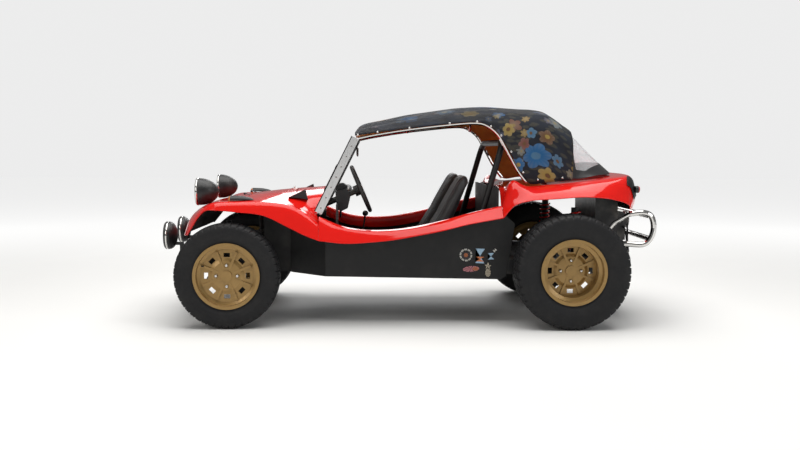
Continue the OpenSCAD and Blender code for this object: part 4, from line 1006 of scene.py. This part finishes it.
def roof_row(x, low, crown_x, crown, side=0.566):
    """Half a section of the roof, from its crown to its side edge.

    The crown is nearly flat, falls through a shoulder at most 0.108 m high,
    and then runs straight down to the edge.
    """
    rise = min(crown - low, 0.108)
    knee = max(0.8 * (crown - 0.9 * rise) + 0.2 * low, low + 0.012)
    bend = max(crown - 0.56 * rise, knee + 0.005)
    mix = [crown_x + (x - crown_x) * k for k in (0, 0, 0.2, 0.4, 0.7, 1)]
    return np.column_stack([mix, [0, 0.190, 0.360, 0.490, side - 0.008, side + 0.002],
                            [crown, crown - 0.06 * rise, crown - 0.24 * rise, bend, knee, low]])


ROOF_MARKS = [(12, 14, 12, 44), (-30, 20, -34, 92), (-180, 42, -180, 126), (-370, 66, -360, 164),
              (-600, 92, -600, 200), (-752, 102, -740, 212), (-832, 76, -840, 216), (-892, 24, -930, 212),
              (-946, -60, -1010, 208), (-1020, -192, -1080, 204), (-1086, -282, -1160, 200),
              (-1200, -274, -1240, 180, 574), (-1358, -260, -1370, 90, 574)]
roof_half = np.array([roof_row(HEADER[0] + m[0] / 1000, HEADER[1] + m[1] / 1000, HEADER[0] + m[2] / 1000,
                               HEADER[1] + m[3] / 1000, *(s / 1000 for s in m[4:])) for m in ROOF_MARKS])
roof = surface(both_sides(roof_half), 10, 12)
middle_column = roof.shape[1] // 2
length_along = np.concatenate([[0],
                               np.cumsum(np.linalg.norm(np.diff(roof[:, middle_column], axis=0), axis=1))])
girth = np.concatenate([np.zeros((len(roof), 1)),
                        np.cumsum(np.linalg.norm(np.diff(roof, axis=1), axis=2), axis=1)], axis=1)
cloth_v = girth - girth[:, middle_column:middle_column + 1]
cloth_u = np.broadcast_to(length_along[:, None], cloth_v.shape)
side_gap = cloth_v[:, -1:] - np.abs(cloth_v)
end_gap = np.minimum(cloth_u, length_along[-1] - cloth_u)
edge_gap = np.minimum(side_gap, end_gap)


def outward(points):
    """Unit directions square to a grid of points, by central differences."""
    n = np.cross(np.gradient(points, axis=0), np.gradient(points, axis=1))
    return n / np.maximum(np.linalg.norm(n, axis=-1, keepdims=True), 1e-12)


# Hem, seams and slack: a doubled hem stands 1.5 mm proud, two long seams run
# over the bows' ends, and shallow folds fan out between the bows and the corners.
hem = 0.0015 * (edge_gap < 0.028)
seams = 0.0014 * np.exp(-((np.abs(cloth_v) - 0.47) / 0.006) ** 2)
bow_u = np.array([0.55, 1.12])
slack = np.min(np.abs(cloth_u[..., None] - bow_u), axis=-1)
off_middle = np.abs(cloth_v)
folds = (0.0035 * np.sin(34 * cloth_u + 9 * off_middle) * np.exp(-((off_middle - 0.62) / 0.16) ** 2)
         * soft_step(edge_gap, 0.0, 0.10))
ripple = (0.0022 * np.sin(52 * cloth_v + 6 * cloth_u) * soft_step(slack, 0.03, 0.2)
          * soft_step(edge_gap, 0, 0.12))
creases = 0.003 * np.sin(60 * (cloth_v - 0.9 * np.sign(cloth_v) * cloth_u)) \
    * np.exp(-((cloth_u - 1.22) / 0.13) ** 2) * soft_step(np.abs(cloth_v), 0.45,
                                                          0.65) * soft_step(edge_gap, 0, 0.08)
roof_points = roof - outward(roof) * (hem + seams + folds + ripple + creases)[..., None]


def lay_out(piece, u, v, gap):
    """Store the flat cloth's own coordinates as a UV map, and the edge's distance as an attribute."""
    at = np.stack([u, v], axis=-1).reshape(-1, 2)
    corner = np.zeros(len(piece.data.loops), np.int32)
    piece.data.loops.foreach_get("vertex_index", corner)
    layer = piece.data.uv_layers.new(name="cloth")
    layer.data.foreach_set("uv", at[corner].ravel())
    attribute = piece.data.attributes.new("edge_gap", "FLOAT", "POINT")
    attribute.data.foreach_set("value", np.ascontiguousarray(gap, float).ravel())


canvas = Finish("printed_canvas", (0.010, 0.012, 0.018), 0.85, **{"Specular IOR Level": 0.3})
NAVY, BLUE, PALE = (0.006, 0.007, 0.011), (0.012, 0.08, 0.20), (0.05, 0.12, 0.20)
YELLOW, ROSE, BROWN = (0.24, 0.17, 0.045), (0.13, 0.045, 0.035), (0.10, 0.05, 0.022)
cloth_at = canvas.node("UVMap", {"uv_map": "cloth"})
cu, cv, _ = canvas.split(cloth_at)
wobble = canvas.noise(26.0, 2.0, cloth_at) * 0.014 - 0.007


def petals(du, dv, radius, count, turn, notch=0.42):
    """How far inside a flower's outline a point is: above 0 inside, up to 1 at its middle.

    The outline is the circle of the radius, drawn in by notch between petals.
    """
    far = (du * du + dv * dv) ** 0.5
    angle = dv.math("ARCTAN2", du) + turn
    lobe = (angle * (count / 2)).math("COSINE").math("ABSOLUTE")
    return 1.0 - far / ((lobe * notch + (1 - notch)) * radius), far / radius


print_colour = canvas.blend(canvas.noise(7.0, 3.0, cloth_at).ramp(0.35, 0.7), shade(NAVY),
                            shade((0.010, 0.014, 0.024)))
show = cu.ramp(0.86, 1.04) * 0.72 + 0.28
leaf_cells = canvas.node("TexVoronoi", {"feature": "F1", "voronoi_dimensions": "2D"},
                         {"Vector": canvas.scaled(cloth_at, (1.0, 2.3, 1.0)), "Scale": 13.0})
leaf_edge = (leaf_cells + wobble * 8.0).ramp(0.36, 0.30)
print_colour = canvas.blend(leaf_edge * show * 0.45, print_colour, shade((0.05, 0.05, 0.035)))
vein = (leaf_cells - 0.16).math("ABSOLUTE").ramp(0.035, 0.01)
print_colour = canvas.blend(vein * show * 0.25, print_colour, shade(BROWN))
for scale, seed, radius, count in ((7.0, 0.0, 0.052, 5), (10.0, 3.7, 0.030, 6)):
    moved = canvas.node("VectorMath", {"operation": "ADD"}, {0: cloth_at, 1: (seed, seed * 1.7, 0)})
    cells = canvas.node("TexVoronoi", {"feature": "F1", "voronoi_dimensions": "2D"},
                        {"Vector": moved, "Scale": scale, "Randomness": 0.85}, out="Position")
    tint = Wire(canvas, cells.socket.node.outputs["Color"])
    off = canvas.node("VectorMath", {"operation": "SUBTRACT"}, {0: moved, 1: cells})
    du, dv, _ = canvas.split(off)
    pick, turn_by, size_by = canvas.split(tint)
    inside, far = petals(du + wobble, dv - wobble, radius, count, turn_by * 6.28)
    hue = canvas.node("ValToRGB", {"stops": [(0.0, BLUE), (0.28, PALE), (0.45, YELLOW), (0.62, ROSE),
                                             (0.80, BLUE), (1.0, BROWN)]},
                      {"Fac": pick})
    hue = canvas.blend((1.0 - far).ramp(0.0, 0.9) * 0.3, hue, shade((0.30, 0.27, 0.20)))
    print_colour = canvas.blend(inside.ramp(0.0, 0.06) * (size_by > 0.78) * show * 0.8, print_colour, hue)
    print_colour = canvas.blend(far.ramp(0.24, 0.18) * (size_by > 0.78) * show * 0.6, print_colour,
                                shade(YELLOW))
# The largest flowers, (u, |v|, radius, petals, turn, petal colour, heart colour)
LARGE = [(1.226, 0.770, 0.082, 6, 0.3, BLUE, PALE), (1.040, 0.623, 0.046, 6, 1.0, YELLOW, BROWN),
         (1.275, 0.640, 0.046, 5, 0.2, BROWN, YELLOW), (1.148, 0.700, 0.040, 5, 0.8, ROSE, BROWN),
         (1.289, 0.880, 0.052, 6, 0.5, YELLOW, BROWN), (1.120, 0.834, 0.046, 5, 1.4, BLUE, YELLOW),
         (1.190, 0.630, 0.036, 5, 0.4, PALE, BROWN), (1.345, 0.760, 0.040, 6, 0.9, PALE, BROWN),
         (0.760, 0.470, 0.060, 6, 0.9, YELLOW, BROWN), (0.609, 0.361, 0.070, 6, 0.1, PALE, YELLOW),
         (0.376, 0.398, 0.062, 5, 0.6, BLUE, PALE), (0.900, 0.180, 0.085, 6, 0.2, BLUE, ROSE),
         (0.200, 0.150, 0.070, 6, 1.2, ROSE, YELLOW), (0.520, 0.020, 0.080, 5, 0.4, BLUE, YELLOW)]
mirrored = cv.math("ABSOLUTE")
for u, v, radius, count, turn, petal, heart in LARGE:
    inside, far = petals(cu - u + wobble, mirrored - v - wobble, radius, count, turn, 0.30)
    streak = ((mirrored - v).math("ARCTAN2", cu - u) * (count * 3)).math("SINE") * 0.25 + 0.5
    leaf = canvas.blend(far.ramp(0.25, 1.0) * streak, shade(petal),
                        shade(tuple(0.7 * c + 0.06 for c in petal)))
    print_colour = canvas.blend(inside.ramp(-0.02, 0.04) * show, print_colour, leaf)
    print_colour = canvas.blend(far.ramp(0.34, 0.24) * show, print_colour, shade(heart))
weave_u = (cu * 4200.0).math("SINE")
weave_v = (cv * 4200.0).math("SINE")
weave = (weave_u * weave_v) * 0.5 + 0.5
gap_wire = canvas.node("Attribute", {"attribute_name": "edge_gap"}, out="Fac")
stitch_row = ((gap_wire - 0.022).math("ABSOLUTE").ramp(0.0014, 0.0006)
              + (gap_wire - 0.007).math("ABSOLUTE").ramp(0.0014, 0.0006))
stitch = stitch_row * ((cu + mirrored) * 1400.0).math("SINE").ramp(-0.3, 0.2)
sun = canvas.noise(2.2, 3.0, cloth_at).ramp(0.3, 0.8) * 0.04
canvas.set(**{"Base Color": canvas.blend(stitch * 0.6,
                                         canvas.blend(sun, print_colour, shade((0.22, 0.21, 0.20))),
                                         shade((0.02, 0.02, 0.02)))})
canvas.set(Roughness=canvas.noise(24.0, 3.0, cloth_at) * 0.2 + 0.72)
canvas.relief(weave * 0.35 + stitch * 0.65, 0.0010, 0.5)
lining = Finish("tan_lining", (0.50, 0.17, 0.02), 0.9, **{"Sheen Weight": 0.2})
lining.set(**{"Base Color": lining.blend(lining.noise(12.0, 4.0).ramp(0.3, 0.7), shade((0.52, 0.18, 0.02)),
                                         shade((0.40, 0.13, 0.018)))})
lining.set(Roughness=lining.noise(30.0, 3.0) * 0.2 + 0.75)
lining.relief(lining.noise(900.0, 2.0), 0.0004, 0.5)

order = slice(None, None, -1)
top_sheet = skin("canvas_top", roof_points[order])
lay_out(top_sheet, cloth_u[order], cloth_v[order], edge_gap[order])
walled(top_sheet, 0.003)
dress(top_sheet, canvas, "car", ["soft_top"])
top_sheet.data.materials.append(lining.material)
top_sheet.modifiers["wall"].material_offset = 1

# Snap studs along the hem
studs = []
for side in (0, -1):
    for row in range(6, roof.shape[0] - 4, 11):
        spot = roof[row, 1 if side == 0 else -2]
        studs.append(turned("stud",
                            [(0, -0.001), (0.007, -0.001), (0.0068, 0.0015), (0.004, 0.0032), (0, 0.0036)],
                            spot + [0, math.copysign(0.0018, spot[1]), 0],
                            (0, math.copysign(1, spot[1]), 0), 16))
dress(join("snap_studs", *studs), chrome, "car")


# ---- Rear window -------------------------------------------------------------
# Clear vinyl sewn into a black border, sloping from the rear bow to the deck.
WINDOW_MARKS = [[(-1371, 0, 86), (-1369, 190, 80), (-1365, 340, 42), (-1361, 470, -58), (-1359, 574, -256)],
                [(-1470, 0, -8), (-1468, 190, -14), (-1450, 340, -48), (-1420, 450, -128),
                 (-1390, 560, -252)],
                [(-1570, 0, -102), (-1566, 190, -106), (-1540, 340, -130), (-1500, 440, -176),
                 (-1440, 540, -244)],
                [(-1700, 0, -222), (-1690, 190, -223), (-1650, 340, -226), (-1590, 430, -230),
                 (-1500, 515, -234)]]
window_half = np.array(WINDOW_MARKS) / 1000 + [HEADER[0], 0, HEADER[1]]
window = surface(both_sides(window_half), 14, 10)
window_u = np.concatenate([np.zeros((1, window.shape[1])),
                           np.cumsum(np.linalg.norm(np.diff(window, axis=0), axis=2), axis=0)])
window_v = np.concatenate([np.zeros((len(window), 1)),
                           np.cumsum(np.linalg.norm(np.diff(window, axis=1), axis=2), axis=1)], axis=1)
window_gap = np.minimum(np.minimum(window_v, window_v[:, -1:] - window_v) - 0.03,
                        np.minimum(window_u, window_u[-1:] - window_u - 0.05))
window_points = window - outward(window) * (0.003 * np.sin(17 * window_u) * np.sin(9 * window_v))[..., None]
vinyl = Finish("clear_vinyl", (0.80, 0.84, 0.86), 0.06, **{"Specular IOR Level": 0.7})
vinyl_gap = vinyl.node("Attribute", {"attribute_name": "edge_gap"}, out="Fac")
border = vinyl_gap.ramp(0.047, 0.045)
vinyl.set(**{"Base Color": vinyl.blend(border, shade((0.80, 0.84, 0.86)), shade((0.014, 0.014, 0.015)))})
vinyl.set(Alpha=border * 0.74 + 0.26,
          Roughness=vinyl.noise(9.0, 5.0).ramp(0.4, 0.8) * 0.15 + border * 0.35 + 0.05)
row_of_stitches = (vinyl_gap - 0.040).math("ABSOLUTE").ramp(0.0014, 0.0006)
vinyl.relief(vinyl.noise(5.0, 2.0) * 0.6 + row_of_stitches * 0.4, 0.002, 0.3)
window_sheet = skin("rear_pane", window_points[order])
lay_out(window_sheet, window_u[order], window_v[order], window_gap[order])
walled(window_sheet, 0.003)
dress(window_sheet, vinyl, "car", ["rear_window"])


# ---- Seats -------------------------------------------------------------------
# Two low buckets in black vinyl, each a cushion and a raked back, with sewn
# flutes up the middle and a piped edge.
seat_vinyl = Finish("seat_vinyl", (0.014, 0.014, 0.015), 0.42, **{"Sheen Weight": 0.1})
grain = seat_vinyl.node("TexVoronoi", {"feature": "DISTANCE_TO_EDGE"},
                        {"Scale": 420.0, "Vector": seat_vinyl.place()})
seat_vinyl.set(Roughness=seat_vinyl.noise(18.0, 4.0) * 0.25 + 0.3)
seat_vinyl.set(**{"Base Color": seat_vinyl.blend(seat_vinyl.noise(6.0, 4.0).ramp(0.4, 0.8) * 0.4,
                                                 shade((0.013, 0.013, 0.014)),
                                                 shade((0.035, 0.033, 0.031)))})
seat_vinyl.relief(grain.ramp(0.0, 0.12), 0.0004, 0.6)
SEAT_X, SEAT_Y, SEAT_HALF = -0.044, 0.300, 0.196


def bun(name, outline, y, half, inset, rows=36):
    """A closed pad: an (x, z) outline carried across, drawn in towards both ends.

    At place s across, from -1 to 1, the outline shrinks towards its middle by
    (1 - |s|^5)^(1/3), and the ends come to a point each.
    """
    outline = np.asarray(outline, float)
    ends = np.concatenate([outline, outline[:1]])
    length = np.concatenate([[0], np.cumsum(np.linalg.norm(np.diff(ends, axis=0), axis=1))])
    even = np.linspace(0, length[-1], 97)[:-1]
    loop = np.column_stack([np.interp(even, length, ends[:, k]) for k in (0, 1)])
    middle = loop.mean(axis=0)
    lead = middle - loop
    loop = loop + inset * lead / np.linalg.norm(lead, axis=1, keepdims=True)
    s = np.sin(np.linspace(-math.pi / 2, math.pi / 2, rows))
    shrink = np.maximum(1 - np.abs(s) ** 7, 0) ** 0.3
    x = middle[0] + (loop[:, 0] - middle[0]) * shrink[:, None]
    z = middle[1] + (loop[:, 1] - middle[1]) * shrink[:, None]
    points = np.stack([x, np.broadcast_to((y + half * s)[:, None], x.shape), z], axis=-1)
    return join(name, skin(name, points, loop_columns=True))


def puff(piece, limit):
    """Swell a pad with cloth under pressure, each point moved by at most limit."""
    remesh = piece.modifiers.new("even", "REMESH")
    remesh.mode, remesh.voxel_size = "VOXEL", 0.009
    bpy.context.view_layer.objects.active = piece
    bpy.ops.object.modifier_apply(modifier="even")
    before = np.array([v.co for v in piece.data.vertices])
    cloth = piece.modifiers.new("cloth", "CLOTH")
    cloth.settings.use_pressure = True
    cloth.settings.uniform_pressure_force = 4.0
    cloth.settings.effector_weights.gravity = 0.0
    cloth.settings.quality = 4
    scene = bpy.context.scene
    for step in range(1, 16):
        scene.frame_set(step)
    bpy.ops.object.modifier_apply(modifier="cloth")
    scene.frame_set(1)
    after = np.array([v.co for v in piece.data.vertices])
    move = after - before
    far = np.linalg.norm(move, axis=1, keepdims=True)
    after = before + move * np.minimum(1.0, limit / np.maximum(far, 1e-9))
    piece.data.vertices.foreach_set("co", after.ravel())
    piece.data.update()
    return piece


def flute(piece, y, half, face, depth=0.006, pitch=0.048):
    """Press sewn channels into a pad's seen face.

    A point whose normal leans towards face moves in by depth where y is at a
    seam, one pitch apart, within 0.8 of half from the pad's middle.
    """
    count = len(piece.data.vertices)
    points, normals = np.zeros(count * 3), np.zeros(count * 3)
    piece.data.vertices.foreach_get("co", points)
    piece.data.vertices.foreach_get("normal", normals)
    points, normals = points.reshape(-1, 3), normals.reshape(-1, 3)
    off = points[:, 1] - y
    facing = soft_step(normals @ np.asarray(face), 0.35, 0.75)
    seam = np.exp(-(((off / pitch + 0.5) % 1.0 - 0.5) * pitch / 0.0055) ** 2)
    in_middle = soft_step(half * 0.80 - np.abs(off), -0.004, 0.004)
    points -= normals * (depth * facing * seam * in_middle)[:, None]
    piece.data.vertices.foreach_set("co", points.ravel())
    piece.data.update()
    return piece


def arc_points(cx, cz, r, a0, a1, n):
    """Points on an arc from angle a0 to a1, in degrees."""
    a = np.radians(np.linspace(a0, a1, n + 1))
    return np.column_stack([cx + r * np.cos(a), cz + r * np.sin(a)])


BACK = np.concatenate([arc_points(SEAT_X - 0.308, 0.920, 0.030, 70, 250, 8),
                       [(SEAT_X - 0.130, 0.410), (SEAT_X - 0.040, 0.410), (SEAT_X - 0.020, 0.436),
                        (SEAT_X - 0.020, 0.470)]])
CUSHION = np.concatenate([[(SEAT_X - 0.0196, 0.340), (SEAT_X + 0.240, 0.340)],
                          arc_points(SEAT_X + 0.250, 0.420, 0.040, -60, 90, 6),
                          [(SEAT_X - 0.0196, 0.456)]])
for side, node in ((1, "seat_left"), (-1, "seat_right")):
    pads = []
    for part, outline, face in (("back", BACK, (0.85, 0, 0.53)), ("cushion", CUSHION, (0.1, 0, 0.99))):
        pad = puff(bun("{}_{}".format(node, part), outline, side * SEAT_Y, SEAT_HALF, 0.007), 0.009)
        flute(pad, side * SEAT_Y, SEAT_HALF, face)
        smooth = pad.modifiers.new("smooth", "SUBSURF")
        smooth.levels = smooth.render_levels = 1
        dress(pad, seat_vinyl, "car", [node] if part == "back" else ())
        pad.data.polygons.foreach_set("use_smooth", [True] * len(pad.data.polygons))
        pads.append(pad)
    rails = []
    for y in (SEAT_Y - 0.140, SEAT_Y + 0.140):
        path = np.array([(SEAT_X, side * y, 0.334), (SEAT_X + 0.015, side * y, 0.3295),
                         (SEAT_X + 0.110, side * y, 0.3290),
                         (SEAT_X + 0.205, side * y, 0.3295), (SEAT_X + 0.220, side * y, 0.334)])
        rails.append(rod_path("rail", curve(path, 6), 0.0045, 10))
    dress(join(node + "_rails", *rails), fittings, "car")


# ---- Floor -------------------------------------------------------------------
# The pale floor of the studio, level under the tyres. Further out it has a painted glow.
ground = np.array([[[x, y, 0.0] for y in (-30.0, 30.0)] for x in (30.0, -30.0)])
floor = skin("floor", ground[::-1], smooth=False)
floor_finish = Finish("pale_floor", (0.84, 0.84, 0.83), 0.8, **{"Emission Strength": 1.0})
fx_, fy_, _ = floor_finish.split(floor_finish.place())
# Painted glow: from 2.5 m to 9 m out from the middle the floor emits more and more light, up to grey 0.66,
# so the far floor blends into the white surround.
painted_glow_far_out = ((fx_ * fx_ + fy_ * fy_) ** 0.5).ramp(2.5, 9.0)
floor_finish.set(**{"Emission Color": floor_finish.blend(painted_glow_far_out, shade((0, 0, 0)),
                                                         shade((0.66, 0.66, 0.66)))})
floor_finish.set(Roughness=floor_finish.noise(2.0, 3.0) * 0.15 + 0.6)
floor.data.materials.append(floor_finish.material)
